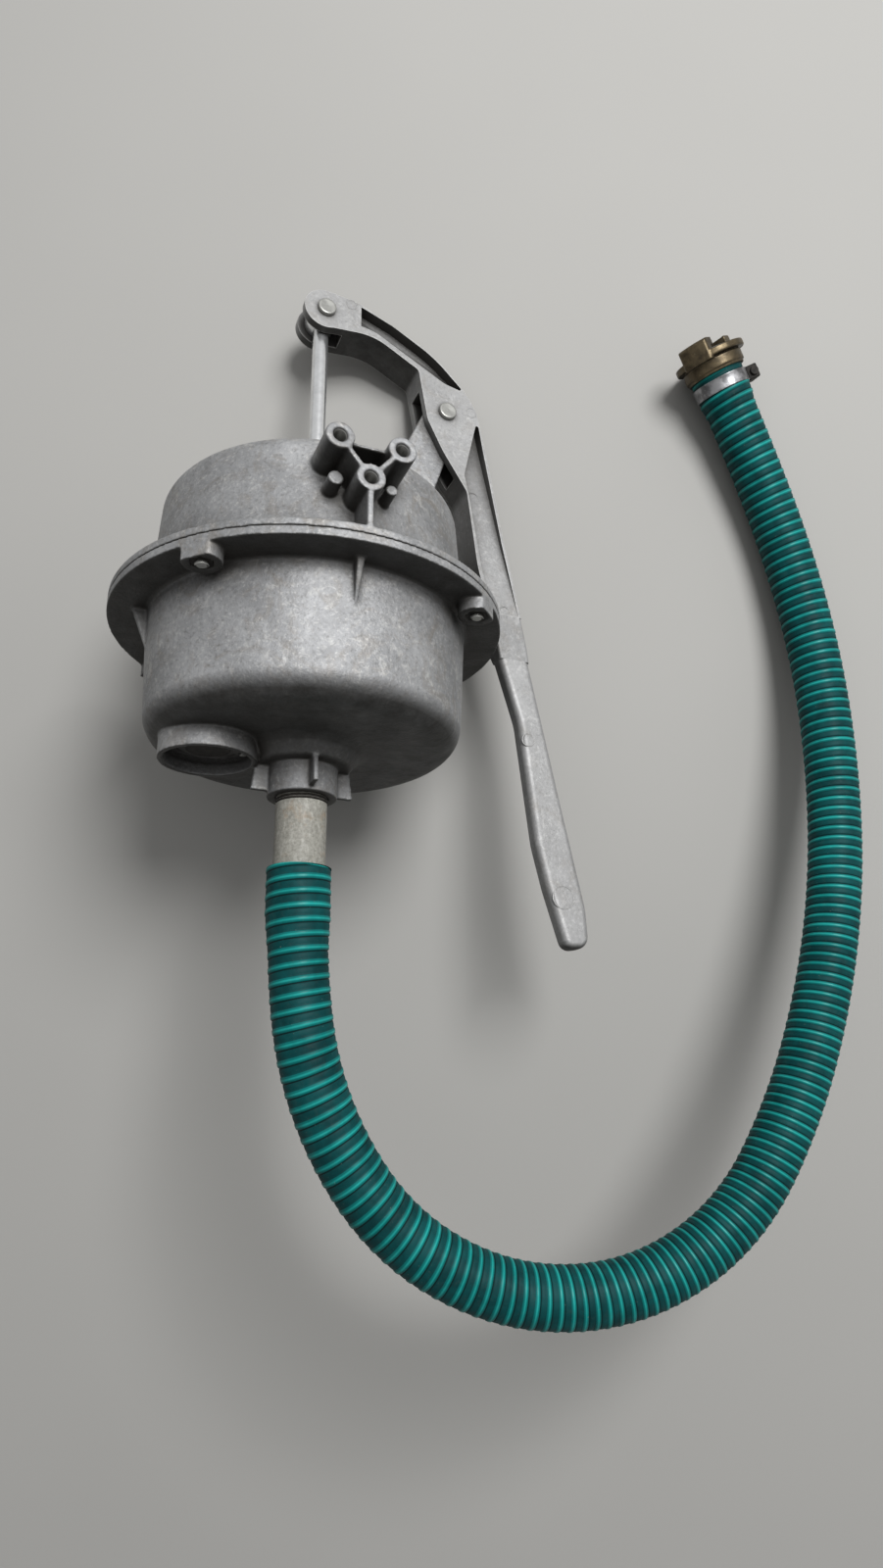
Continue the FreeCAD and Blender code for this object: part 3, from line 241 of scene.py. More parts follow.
class Look:
    """A procedural material, with short calls for the nodes that the finishes share."""

    def __init__(self, name, metallic, roughness, specular=0.5):
        self.material = bpy.data.materials.new(name)
        self.material.use_nodes = True
        self.tree = self.material.node_tree
        self.shader = self.tree.nodes["Principled BSDF"]
        self.shader.inputs["Metallic"].default_value = metallic
        self.shader.inputs["Roughness"].default_value = roughness
        self.shader.inputs["Specular IOR Level"].default_value = specular
        self.place = self.tree.nodes.new("ShaderNodeTexCoord").outputs["Object"]

    def node(self, kind, **settings):
        made = self.tree.nodes.new(kind)
        for key, value in settings.items():
            setattr(made, key, value)
        return made

    def feed(self, value, socket):
        if isinstance(value, bpy.types.NodeSocket):
            self.tree.links.new(value, socket)
        else:
            socket.default_value = value

    def noise(self, scale, detail=3.0, roughness=0.55, distortion=0.0, place=None):
        made = self.node("ShaderNodeTexNoise")
        self.feed(place or self.place, made.inputs["Vector"])
        made.inputs["Scale"].default_value = scale
        made.inputs["Detail"].default_value = detail
        made.inputs["Roughness"].default_value = roughness
        made.inputs["Distortion"].default_value = distortion
        return made.outputs["Fac"]

    def stretched(self, rotation, scale):
        """Texture places turned and stretched, for streaks along a direction."""
        made = self.node("ShaderNodeMapping")
        self.feed(self.place, made.inputs["Vector"])
        made.inputs["Rotation"].default_value = rotation
        made.inputs["Scale"].default_value = scale
        return made.outputs["Vector"]

    def spread(self, value, low, high, to_low=0.0, to_high=1.0):
        """A value moved from one range to another and kept inside it."""
        made = self.node("ShaderNodeMapRange", clamp=True)
        self.feed(value, made.inputs["Value"])
        made.inputs["From Min"].default_value = low
        made.inputs["From Max"].default_value = high
        made.inputs["To Min"].default_value = to_low
        made.inputs["To Max"].default_value = to_high
        return made.outputs["Result"]

    def mix(self, share, one, other):
        """A blend of two colours, each a link or three numbers."""
        made = self.node("ShaderNodeMix", data_type="RGBA")
        self.feed(share, made.inputs[MIX_SHARE])
        for colour, socket in zip((one, other), MIX_COLOURS):
            linked = isinstance(colour, bpy.types.NodeSocket)
            self.feed(colour if linked else (*colour, 1.0), made.inputs[socket])
        return made.outputs[MIX_COLOUR_OUT]

    def over(self, colour, other, mask, share):
        """A colour with another laid over it, where the mask is and as strong as the share."""
        return self.mix(self.times(mask, share), colour, other)

    def times(self, one, other):
        made = self.node("ShaderNodeMath", operation="MULTIPLY")
        self.feed(one, made.inputs[0])
        self.feed(other, made.inputs[1])
        return made.outputs[0]

    def attribute(self, name):
        """A value that is stored on the points of the mesh."""
        made = self.node("ShaderNodeAttribute", attribute_name=name)
        return made.outputs["Fac"]

    def crevice(self, distance):
        """One in tight corners, nought on open faces: the mask for painted shade in corners."""
        made = self.node("ShaderNodeAmbientOcclusion", samples=SHADER_SAMPLES)
        made.inputs["Distance"].default_value = distance
        return self.spread(made.outputs["AO"], 0.35, 0.95, 1.0, 0.0)

    def underside(self):
        """One on faces that look down the pump's axis, which are darkened with grime and painted
        shade.
        """
        facing = self.node("ShaderNodeVectorMath", operation="DOT_PRODUCT")
        self.feed(self.node("ShaderNodeTexCoord").outputs["Normal"], facing.inputs[0])
        facing.inputs[1].default_value = PUMP.to_3x3() @ Vector((0.0, 0.0, -1.0))
        return self.spread(facing.outputs["Value"], 0.12, 0.75)

    def softened_edge(self, radius):
        """The softened normal of sharp edges, and a mask that is one along them."""
        bevel = self.node("ShaderNodeBevel", samples=SHADER_SAMPLES)
        bevel.inputs["Radius"].default_value = radius
        facing = self.node("ShaderNodeVectorMath", operation="DOT_PRODUCT")
        self.feed(bevel.outputs["Normal"], facing.inputs[0])
        self.feed(self.node("ShaderNodeNewGeometry").outputs["Normal"], facing.inputs[1])
        mask = self.spread(facing.outputs["Value"], 0.80, 0.985, 1.0, 0.0)
        return bevel.outputs["Normal"], mask

    def bump(self, height, distance, strength=1.0, normal=None):
        made = self.node("ShaderNodeBump")
        self.feed(height, made.inputs["Height"])
        made.inputs["Distance"].default_value = distance
        made.inputs["Strength"].default_value = strength
        if normal is not None:
            self.feed(normal, made.inputs["Normal"])
        return made.outputs["Normal"]

    def finish(self, colour, roughness=None, normal=None):
        self.feed(colour, self.shader.inputs["Base Color"])
        if roughness is not None:
            self.feed(roughness, self.shader.inputs["Roughness"])
        if normal is not None:
            self.feed(normal, self.shader.inputs["Normal"])
        return self.material


def cast_metal(name, dark, light, edge, edge_share, wear, grit):
    """Weathered cast aluminium: mottled and grainy, with painted shade in its corners, grime and
    painted shade underneath, and edges paler from wear and painted highlight.
    """
    look = Look(name, metallic=0.45, roughness=0.55)
    cloud = look.spread(look.noise(16.0, 5.0, 0.6, 0.4), 0.32, 0.68)
    colour = look.mix(cloud, dark, light)
    blotch = look.spread(look.noise(38.0, 7.0, 0.72, 1.6), 0.50, 0.68)
    colour = look.over(colour, (0.17, 0.145, 0.115), blotch, wear)
    rubbed = look.spread(look.noise(95.0, 7.0, 0.75, 0.8), 0.55, 0.70)
    colour = look.over(colour, edge, rubbed, 0.85 * wear)
    grain = look.noise(380.0, 5.0, 0.7)
    colour = look.over(colour, (0.12, 0.12, 0.115), look.spread(grain, 0.54, 0.66), wear)
    colour = look.over(colour, edge, look.spread(grain, 0.45, 0.35), 0.5 * wear)
    normal, edge_mask = look.softened_edge(0.9 * MM)
    # Faces that look down go near black: partly grime, partly painted shade.
    grime_and_shade = look.times(look.underside(), look.spread(look.noise(70.0, 6.0, 0.7), 0.3, 0.7, 0.82, 1.0))
    colour = look.mix(grime_and_shade, colour, (0.018, 0.017, 0.015))
    # Edges paler: partly wear, partly a painted highlight.
    colour = look.over(colour, edge, edge_mask, edge_share)
    # Painted shade: near black in corners and close to other parts.
    colour = look.over(colour, (0.036, 0.034, 0.030), look.crevice(50.0 * MM), 0.75)
    colour = look.over(colour, (0.035, 0.032, 0.028), look.crevice(12.0 * MM), 0.75)
    roughness = look.spread(look.noise(60.0, 4.0), 0.3, 0.7, 0.50, 0.62)
    normal = look.bump(look.noise(130.0, 4.0), 2.0 * grit, 0.5, normal)
    normal = look.bump(grain, grit, 0.9, normal)
    return look.finish(colour, roughness, normal)


def plated_steel(name, base, rough_low, rough_high):
    """Dull zinc-plated steel with small scratches."""
    look = Look(name, metallic=0.9, roughness=0.3)
    cloud = look.spread(look.noise(120.0, 4.0, 0.6), 0.3, 0.7)
    darker = tuple(0.84 * value for value in base)
    colour = look.mix(cloud, darker, base)
    normal, edge_mask = look.softened_edge(0.4 * MM)
    colour = look.over(colour, (0.80, 0.80, 0.78), edge_mask, 0.4)
    # Painted shade: near black in tight corners and holes.
    colour = look.over(colour, (0.06, 0.052, 0.045), look.crevice(5.0 * MM), 0.6)
    roughness = look.spread(look.noise(260.0, 4.0), 0.3, 0.7, rough_low, rough_high)
    normal = look.bump(look.noise(900.0, 2.0), 0.02 * MM, 0.4, normal)
    return look.finish(colour, roughness, normal)


def galvanised(name):
    """Hot-dip zinc on the suction pipe: speckled, streaked and lightly stained."""
    look = Look(name, metallic=0.0, roughness=0.6, specular=0.3)
    cloud = look.spread(look.noise(480.0, 5.0, 0.7), 0.35, 0.65)
    colour = look.mix(cloud, (0.175, 0.170, 0.148), (0.300, 0.294, 0.262))
    along = look.stretched((LIE_PITCH, 0.0, 0.0), (1.0, 0.07, 1.0))
    streak = look.spread(look.noise(420.0, 4.0, 0.6, 0.0, along), 0.52, 0.72)
    colour = look.over(colour, (0.46, 0.455, 0.42), streak, 0.40)
    stain = look.spread(look.noise(70.0, 5.0, 0.65, 0.8), 0.56, 0.72)
    colour = look.over(colour, (0.26, 0.17, 0.09), stain, 0.5)
    speckle = look.spread(look.noise(1300.0, 2.0, 0.6), 0.60, 0.76)
    colour = look.over(colour, (0.09, 0.085, 0.07), speckle, 0.5)
    roughness = look.spread(look.noise(300.0, 3.0), 0.3, 0.7, 0.50, 0.68)
    normal = look.bump(look.noise(600.0, 4.0), 0.12 * MM, 0.5)
    return look.finish(colour, roughness, normal)


def aged_brass(name):
    """Brown aged brass, golden where it is rubbed and along its edges, partly as a painted highlight,
    with painted shade in its hollows.
    """
    look = Look(name, metallic=0.8, roughness=0.4)
    cloud = look.spread(look.noise(110.0, 5.0, 0.65, 0.6), 0.34, 0.66)
    colour = look.mix(cloud, (0.045, 0.035, 0.021), (0.130, 0.100, 0.058))
    rubbed = look.spread(look.noise(330.0, 5.0, 0.7), 0.60, 0.74)
    colour = look.over(colour, (0.38, 0.30, 0.17), rubbed, 0.4)
    normal, edge_mask = look.softened_edge(0.9 * MM)
    # Edges paler and golden: partly rubbed wear, partly a painted highlight.
    colour = look.over(colour, (0.52, 0.41, 0.24), edge_mask, 0.65)
    # Painted shade: near black in the hollows.
    colour = look.over(colour, (0.020, 0.016, 0.011), look.crevice(9.0 * MM), 0.85)
    roughness = look.spread(look.noise(200.0, 4.0), 0.3, 0.7, 0.32, 0.54)
    normal = look.bump(look.noise(420.0, 4.0), 0.14 * MM, 0.5, normal)
    return look.finish(colour, roughness, normal)


def brushed_strip(name):
    """The stainless clamp band, drawn lengthwise."""
    look = Look(name, metallic=1.0, roughness=0.2)
    cloud = look.spread(look.noise(150.0, 4.0), 0.42, 0.58)
    colour = look.mix(cloud, (0.15, 0.15, 0.155), (0.32, 0.32, 0.33))
    normal, edge_mask = look.softened_edge(0.3 * MM)
    colour = look.over(colour, (0.75, 0.75, 0.75), edge_mask, 0.4)
    roughness = look.spread(look.noise(800.0, 3.0), 0.3, 0.7, 0.38, 0.50)
    normal = look.bump(look.noise(55.0, 1.0), 0.9 * MM, 0.5, normal)
    return look.finish(colour, roughness, normal)


def dark_metal(name):
    """Near-black steel, a little paler along its edges."""
    look = Look(name, metallic=0.0, roughness=0.6, specular=0.15)
    cloud = look.spread(look.noise(300.0, 4.0), 0.35, 0.65)
    colour = look.mix(cloud, (0.010, 0.009, 0.008), (0.026, 0.023, 0.020))
    normal, edge_mask = look.softened_edge(0.4 * MM)
    colour = look.over(colour, (0.10, 0.095, 0.085), edge_mask, 0.35)
    normal = look.bump(look.noise(900.0, 3.0), 0.08 * MM, 0.5, normal)
    return look.finish(colour, None, normal)


def rubber(name):
    """Old dusty rubber."""
    look = Look(name, metallic=0.0, roughness=0.7, specular=0.35)
    cloud = look.spread(look.noise(80.0, 5.0, 0.6), 0.35, 0.7)
    colour = look.mix(cloud, (0.050, 0.049, 0.047), (0.095, 0.092, 0.086))
    dust = look.spread(look.noise(400.0, 4.0, 0.7), 0.60, 0.78)
    colour = look.over(colour, (0.16, 0.155, 0.14), dust, 0.25)
    roughness = look.spread(look.noise(200.0, 3.0), 0.3, 0.7, 0.60, 0.80)
    normal = look.bump(look.noise(700.0, 3.0), 0.12 * MM, 0.5)
    return look.finish(colour, roughness, normal)


def hose_plastic(name):
    """Ribbed suction hose: teal ribs with a painted highlight along each crest, on a dark wall, dusty
    in places.
    """
    look = Look(name, metallic=0.0, roughness=0.45, specular=0.10)
    cloud = look.spread(look.noise(45.0, 5.0, 0.6, 0.5), 0.34, 0.66)
    wall = look.mix(cloud, (0.001, 0.028, 0.030), (0.003, 0.058, 0.060))
    flank = look.mix(cloud, (0.002, 0.100, 0.096), (0.004, 0.150, 0.144))
    # Painted highlight: a bright line of colour along the middle of each rib.
    crest_highlight = look.mix(cloud, (0.006, 0.200, 0.184), (0.018, 0.320, 0.292))
    rib = look.attribute("rib")
    colour = look.mix(look.spread(rib, 0.0, 0.22), wall, flank)
    colour = look.mix(look.spread(rib, 0.55, 0.92), colour, crest_highlight)
    dust = look.spread(look.noise(170.0, 6.0, 0.7, 0.5), 0.52, 0.76)
    colour = look.over(colour, (0.070, 0.085, 0.072), dust, 0.14)
    # Painted shade: the groove at each rib's foot goes near black.
    colour = look.over(colour, (0.002, 0.006, 0.006), look.attribute("groove"), 0.85)
    speck = look.spread(look.noise(700.0, 2.0, 0.5), 0.72, 0.80)
    colour = look.over(colour, (0.22, 0.24, 0.21), speck, 0.4)
    # Painted shade: near black close to the floor and other parts.
    colour = look.over(colour, (0.001, 0.010, 0.010), look.crevice(60.0 * MM), 0.7)
    roughness = look.spread(rib, 0.0, 0.8, 0.55, 0.32)
    normal = look.bump(look.noise(240.0, 4.0), 0.25 * MM, 0.35)
    return look.finish(colour, roughness, normal)


def make_finishes():
    """One material for each finish, shared by all the pieces that have it."""
    return {
        "body": cast_metal("cast_body", dark=(0.178, 0.181, 0.186), light=(0.345, 0.349, 0.356),
                           edge=(0.66, 0.65, 0.62), edge_share=0.65, wear=0.50, grit=0.45 * MM),
        "lever": cast_metal("cast_lever", dark=(0.26, 0.26, 0.26), light=(0.35, 0.35, 0.35),
                            edge=(0.82, 0.82, 0.80), edge_share=0.85, wear=0.26, grit=0.25 * MM),
        "steel": plated_steel("zinc_plated", (0.40, 0.40, 0.38), rough_low=0.34, rough_high=0.48),
        "polished": plated_steel("polished_rod", (0.84, 0.85, 0.86), rough_low=0.20, rough_high=0.26),
        "pipe": galvanised("galvanised_zinc"),
        "brass": aged_brass("aged_brass"),
        "band": brushed_strip("band_strip"),
        "dark": dark_metal("dark_metal"),
        "rubber": rubber("matt_rubber"),
        "hose": hose_plastic("hose_plastic"),
    }


def link(name, mesh):
    made = bpy.data.objects.new(name, mesh)
    bpy.context.scene.collection.objects.link(made)
    return made


def shade(mesh, smooth=True):
    mesh.polygons.foreach_set("use_smooth", [smooth] * len(mesh.polygons))


def mesh_object(name, points, faces, smooth=True):
    mesh = bpy.data.meshes.new(name)
    mesh.from_pydata([tuple(point) for point in points], [], faces)
    mesh.update()
    shade(mesh, smooth)
    return link(name, mesh)


def weld(mesh, drop_slivers=False):
    """Joins the points that lie on each other."""
    work = bmesh.new()
    work.from_mesh(mesh)
    if drop_slivers:
        bmesh.ops.dissolve_degenerate(work, dist=MERGE_DISTANCE, edges=work.edges)
    bmesh.ops.remove_doubles(work, verts=work.verts, dist=MERGE_DISTANCE)
    work.to_mesh(mesh)
    work.free()


def settle(piece, body, material):
    """Gives a piece its finish and lets it ride on its body."""
    piece.data.materials.clear()
    piece.data.materials.append(material)
    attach(piece, body)
    return piece


def lathe(name, profile, frame, sides=72):
    """A surface turned about the frame's Z from (radius, height) points, in metres."""
    points = []
    for radius, height in profile:
        for k in range(sides):
            angle = math.tau * k / sides
            points.append(frame @ Vector((radius * math.cos(angle), radius * math.sin(angle), height)))
    faces = []
    for ring in range(len(profile) - 1):
        for k in range(sides):
            after = (k + 1) % sides
            faces.append((ring * sides + k, ring * sides + after,
                          (ring + 1) * sides + after, (ring + 1) * sides + k))
    return mesh_object(name, points, faces)


def thread(name, frame, radius, height, pitch, length, sides=40):
    """A helical ridge on a wall of that radius; a negative height stands inwards."""
    section = (
        (radius, -THREAD_FOOT * pitch),
        (radius + height, -THREAD_CREST * pitch),
        (radius + height, THREAD_CREST * pitch),
        (radius, THREAD_FOOT * pitch),
    )
    steps = int(length / pitch * sides)
    points = []
    for k in range(steps + 1):
        angle = math.tau * k / sides
        rise = pitch * k / sides
        for r, along in section:
            points.append(frame @ Vector((r * math.cos(angle), r * math.sin(angle), rise + along)))
    faces = []
    for k in range(steps):
        for corner in range(3):
            low = 4 * k + corner
            faces.append((low, low + 1, low + 5, low + 4))
    return mesh_object(name, points, faces, smooth=False)


def pump_frame(x, y, z, towards):
    """A frame at a place of the pump (mm), with its Z along a direction of the pump's frame."""
    turn = Vector(towards).to_track_quat("Z", "Y").to_matrix().to_4x4()
    return PUMP @ Matrix.Translation(Vector((x, y, z)) * MM) @ turn


def cast_copy(node, grid, relax, body, material, name):
    """The node as a casting: its sharp edges and corners rounded over by a fine grid."""
    made = link(name, frame["nodes"][node].data.copy())
    weld(made.data)
    remesh = made.modifiers.new("grid", "REMESH")
    remesh.mode = "VOXEL"
    remesh.voxel_size = grid
    remesh.use_smooth_shade = True
    smooth = made.modifiers.new("relax", "SMOOTH")
    smooth.factor = RELAX_STRENGTH
    smooth.iterations = relax
    fewer = made.modifiers.new("fewer", "DECIMATE")
    fewer.ratio = FACE_SHARE
    bpy.context.view_layer.update()
    graph = bpy.context.evaluated_depsgraph_get()
    shaped = bpy.data.meshes.new_from_object(made.evaluated_get(graph))
    made.modifiers.clear()
    made.data = shaped
    shade(shaped)
    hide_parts(node)
    return settle(made, body, material)


def route_line(points):
    """The hose's centreline: a smooth spline with the route's points as its controls."""
    curve = bpy.data.curves.new("hose_route", "CURVE")
    curve.dimensions = "3D"
    curve.resolution_u = ROUTE_STEPS
    spline = curve.splines.new("NURBS")
    spline.points.add(len(points) - 1)
    for control, point in zip(spline.points, points):
        control.co = (*point, 1.0)
    spline.order_u = ROUTE_ORDER
    spline.use_endpoint_u = True
    holder = link("hose_route", curve)
    line = bpy.data.meshes.new_from_object(holder)
    found = np.array([tuple(vertex.co) for vertex in line.vertices])
    bpy.data.objects.remove(holder)
    return found


class Centreline:
    """Places and cross directions along a line of points, by distance from its start."""

    def __init__(self, points):
        self.points = points
        steps = np.linalg.norm(np.diff(points, axis=0), axis=1)
        self.at = np.concatenate([[0.0], np.cumsum(steps)])
        self.length = float(self.at[-1])
        tangents = np.gradient(points, self.at, axis=0)
        self.tangents = tangents / np.linalg.norm(tangents, axis=1)[:, None]
        side = np.cross(self.tangents[0], (0.0, 0.0, 1.0))
        sides = []
        for tangent in self.tangents:
            side = side - tangent * (side @ tangent)
            side = side / np.linalg.norm(side)
            sides.append(side)
        self.sides = np.array(sides)
        self.ups = np.cross(self.tangents, self.sides)

    def sample(self, rows, distance):
        return np.stack([np.interp(distance, self.at, rows[:, k]) for k in range(3)], axis=-1)

    def surface(self, distance, angle, radius):
        centre = self.sample(self.points, distance)
        side = self.sample(self.sides, distance)
        up = self.sample(self.ups, distance)
        out = side * np.cos(angle)[..., None] + up * np.sin(angle)[..., None]
        return centre + out * radius[..., None]

    def frame(self, distance, away=1.0):
        """A frame at that distance, with its Z along the line, or back along it."""
        place = Vector(self.sample(self.points, distance))
        towards = Vector(self.sample(self.tangents, distance)) * away
        turn = towards.to_track_quat("Z", "Y").to_matrix().to_4x4()
        return Matrix.Translation(place) @ turn


def hose_outer_radius(distance, length):
    """The hose is wider over the pipe at its start and over the coupling's tail at its end."""
    at_start = np.interp(distance, [HOSE_SLEEVE_LENGTH, HOSE_SLEEVE_LENGTH + HOSE_SLEEVE_TAPER],
                         [HOSE_SLEEVE_R, HOSE_R])
    at_end = np.interp(length - distance, [HOSE_END_LENGTH, HOSE_END_LENGTH + HOSE_END_TAPER],
                       [HOSE_END_R, HOSE_R])
    return np.maximum(at_start, at_end)


def rib_section():
    """Across one pitch: phase, height above the wall, rib mask and groove mask."""
    section = []
    for k in range(RIB_STEPS + 1):
        across = abs(2.0 * k / RIB_STEPS - 1.0)
        height = RIB_HEIGHT * (1.0 - across ** RIB_BREADTH) ** RIB_ROUNDNESS
        section.append((RIB_SHARE * k / RIB_STEPS, height, 1.0 - across, 0.0))
    section.append((RIB_SHARE + 0.25 * GROOVE_SHARE, -GROOVE_DEPTH, 0.0, 1.0))
    section.append((RIB_SHARE + 0.75 * GROOVE_SHARE, -GROOVE_DEPTH, 0.0, 1.0))
    wall_start = RIB_SHARE + GROOVE_SHARE
    for k in range(WALL_STEPS):
        across = k / WALL_STEPS
        bulge = WALL_BULGE * math.sin(math.pi * across)
        section.append((wall_start + (WALL_END_SHARE - wall_start) * across, bulge, 0.0, 0.0))
    return section


def rib_count(length):
    """Distances along the hose, and how many ribs lie before each of them."""
    at = np.linspace(0.0, length, PITCH_SAMPLES)
    known, pitches = zip(*RIB_PITCHES)
    per_step = np.diff(at) / (np.interp(at[1:], known, pitches) * MM)
    return at, np.concatenate([[0.0], np.cumsum(per_step)])


def helix_faces(rows, rows_per_turn):
    """Faces between rows that climb one pitch in a turn: a row's end meets a later row's start."""
    faces = []
    for row in range(rows - 1):
        first, above = row * HOSE_SIDES, (row + 1) * HOSE_SIDES
        for k in range(HOSE_SIDES - 1):
            faces.append((first + k, first + k + 1, above + k + 1, above + k))
        if row + 1 + rows_per_turn < rows:
            turn = rows_per_turn * HOSE_SIDES
            last = HOSE_SIDES - 1
            faces.append((first + last, first + turn, above + turn, above + last))
    return faces


def ribbed_hose(line):
    """A tube whose rows of points follow the helix of the ribs, so each rib stays crisp."""
    section = rib_section()
    at, count = rib_count(line.length)
    turns = int(math.ceil(count[-1])) + 1
    starts = [turn + part[0] for turn in range(-1, turns) for part in section]
    heights = np.array([part[1] for part in section] * (turns + 1))
    ribs = np.array([part[2] for part in section] * (turns + 1))
    grooves = np.array([part[3] for part in section] * (turns + 1))
    angles = math.tau * np.arange(HOSE_SIDES) / HOSE_SIDES
    rise = np.arange(HOSE_SIDES) / HOSE_SIDES
    distance = np.interp(np.array(starts)[:, None] + rise[None, :], count, at)
    radius = hose_outer_radius(distance, line.length) - RIB_HEIGHT + heights[:, None]
    angle = np.broadcast_to(angles[None, :], distance.shape)
    points = line.surface(distance, angle, radius).reshape(-1, 3)
    hose = mesh_object("suction_hose", points, helix_faces(len(starts), len(section)))
    for name, values in (("rib", ribs), ("groove", grooves)):
        data = hose.data.attributes.new(name, "FLOAT", "POINT")
        data.data.foreach_set("value", np.repeat(values, HOSE_SIDES).astype(np.float32))
    weld(hose.data, drop_slivers=True)
    shade(hose.data)
    return hose


def hose_lip(name, line, distance, away, outer):
    """The cut end of the hose: a rounded lip, coloured like a rib's crest with its painted highlight,
    and the start of its bore.
    """
    profile = [
        (outer, LIP_DEPTH),
        (outer - 0.2 * LIP_ROUND, 0.25 * LIP_DEPTH),
        (outer - LIP_ROUND, 0.0),
        (HOSE_MOUTH_R + LIP_CHAMFER, 0.0),
        (HOSE_MOUTH_R, LIP_CHAMFER),
        (HOSE_MOUTH_R, HOSE_MOUTH_DEPTH),
    ]
    lip = lathe(name, profile, line.frame(distance, away))
    crest_highlight = lip.data.attributes.new("rib", "FLOAT", "POINT")
    crest_highlight.data.foreach_set("value", [1.0] * len(lip.data.vertices))
    return lip


def clamp_band(line):
    """The strip round the hose's end, with its two turned edges."""
    half = BAND_W / 2
    outer = HOSE_END_R + BAND_T
    near_half = [
        (HOSE_END_R - BAND_BITE, -half),
        (HOSE_END_R + 0.70 * BAND_T, -half),
        (outer, -half + BAND_ROUND),
        (outer, -half + BAND_LIP),
        (HOSE_END_R + 0.72 * BAND_T, -half + 2 * BAND_LIP),
    ]
    far_half = [(radius, -height) for radius, height in reversed(near_half)]
    profile = near_half + [(HOSE_END_R + 0.66 * BAND_T, 0.0)] + far_half
    place = line.frame(line.length - BAND_SETBACK - half)
    return lathe("clamp_strip", profile, place, sides=BAND_SIDES)


def surface_height(node, x, z):
    """The front face of a node over a place of the pump (mm): its y, or None."""
    source = frame["nodes"][node]
    tree = BVHTree.FromPolygons([vertex.co for vertex in source.data.vertices],
                                [tuple(polygon.vertices) for polygon in source.data.polygons])
    start = PUMP @ (Vector((x, IN_FRONT_Y, z)) * MM)
    hit = tree.ray_cast(start, PUMP.to_3x3() @ Vector((0.0, 1.0, 0.0)))[0]
    if hit is None:
        return None
    return (PUMP.inverted() @ hit).y / MM


def lever_marks(finishes):
    """The faint raised rings that the casting's ejector pins left."""
    for number, (x, z, radius) in enumerate(LEVER_MARKS, 1):
        y = surface_height("lever", x, z)
        if y is None:
            continue
        profile = [(radius * MM - inset * MARK_WIDTH, rise * MARK_HEIGHT)
                   for inset, rise in MARK_SECTION]
        mark = lathe(f"lever_mark_{number}", profile, pump_frame(x, y, z, (0, -1, 0)), sides=48)
        settle(mark, "lever_arm", finishes["lever"])


def turned_profile():
    """Fine turned rings across a pin head, from its rim to the small hollow at its centre."""
    profile = [(PIN_FACE_R, -PIN_RIM_DROP)]
    for k in range(PIN_RINGS, 0, -1):
        radius = PIN_RINGS_R * k / PIN_RINGS
        profile.append((radius, PIN_RING_RISE))
        profile.append((radius - PIN_RING_WIDTH, 0.0))
    profile.append((PIN_CENTRE_R, PIN_RING_RISE))
    profile.append((PIN_TIP_R, -PIN_CENTRE_DEPTH))
    return profile


def pin_faces(finishes):
    """The turned end faces of the two pin heads."""
    profile = turned_profile()
    for node, (x, z) in PIN_PLACES.items():
        face = lathe(f"{node}_face", profile, pump_frame(x, PIN_HEAD_Y, z, (0, -1, 0)), sides=64)
        settle(face, "lever_arm", finishes["steel"])


def boss_threads(finishes):
    """Thread ridges inside the three tapped holes."""
    for number, (x, z) in enumerate(MOUNT_PLACES, 1):
        start = pump_frame(x, MOUNT_THREAD_Y, z, (0, 1, 0))
        ridge = thread(f"boss_thread_{number}", start, MOUNT_HOLE_R * MM, -MOUNT_THREAD_HEIGHT * MM,
                       MOUNT_THREAD_PITCH * MM, MOUNT_THREAD_LENGTH * MM)
        settle(ridge, "pump_body", finishes["steel"])


def bolt_threads(finishes):
    """Thread ridges on the ends of the four flange screws."""
    for number, angle in enumerate(BOLT_ANGLES, 1):
        x = BOLT_CIRCLE_R * math.cos(math.radians(angle))
        y = BOLT_CIRCLE_R * math.sin(math.radians(angle))
        start = pump_frame(x, y, BOLT_TIP_Z, (0, 0, 1))
        ridge = thread(f"bolt_thread_{number}", start, BOLT_R * MM, BOLT_THREAD_HEIGHT * MM,
                       BOLT_THREAD_PITCH * MM, BOLT_THREAD_LENGTH * MM)
        settle(ridge, "pump_body", finishes["steel"])


def pipe_thread(finishes):
    """The grimy last turns of thread where the pipe enters the suction boss."""
    start = pump_frame(0.0, 0.0, PIPE_THREAD_TOP, (0, 0, -1))
    ridge = thread("pipe_thread_end", start, PIPE_R * MM, PIPE_THREAD_HEIGHT * MM,
                   PIPE_THREAD_PITCH * MM, PIPE_THREAD_LENGTH * MM)
    settle(ridge, "pump_body", finishes["dark"])


def taper_gussets(casting):
    """Thin the four gussets towards their feet, as the casting's draft does."""
    into = PUMP.inverted()
    for vertex in casting.data.vertices:
        place = into @ vertex.co / MM
        if not GUSSET_END_Z < place.z < GUSSET_TOP_Z:
            continue
        for degrees in GUSSET_ANGLES:
            out = Vector((math.cos(math.radians(degrees)), math.sin(math.radians(degrees)), 0.0))
            side = Vector((-out.y, out.x, 0.0))
            across = place.dot(side)
            if place.dot(out) > GUSSET_ROOT_R and abs(across) < GUSSET_HALF + GUSSET_SLACK:
                share = min(1.0, -place.z / GUSSET_DROP)
                thinner = 1.0 - (1.0 - GUSSET_FOOT_SHARE) * share
                place = place + side * (across * (thinner - 1.0))
                vertex.co = PUMP @ (place * MM)
                break


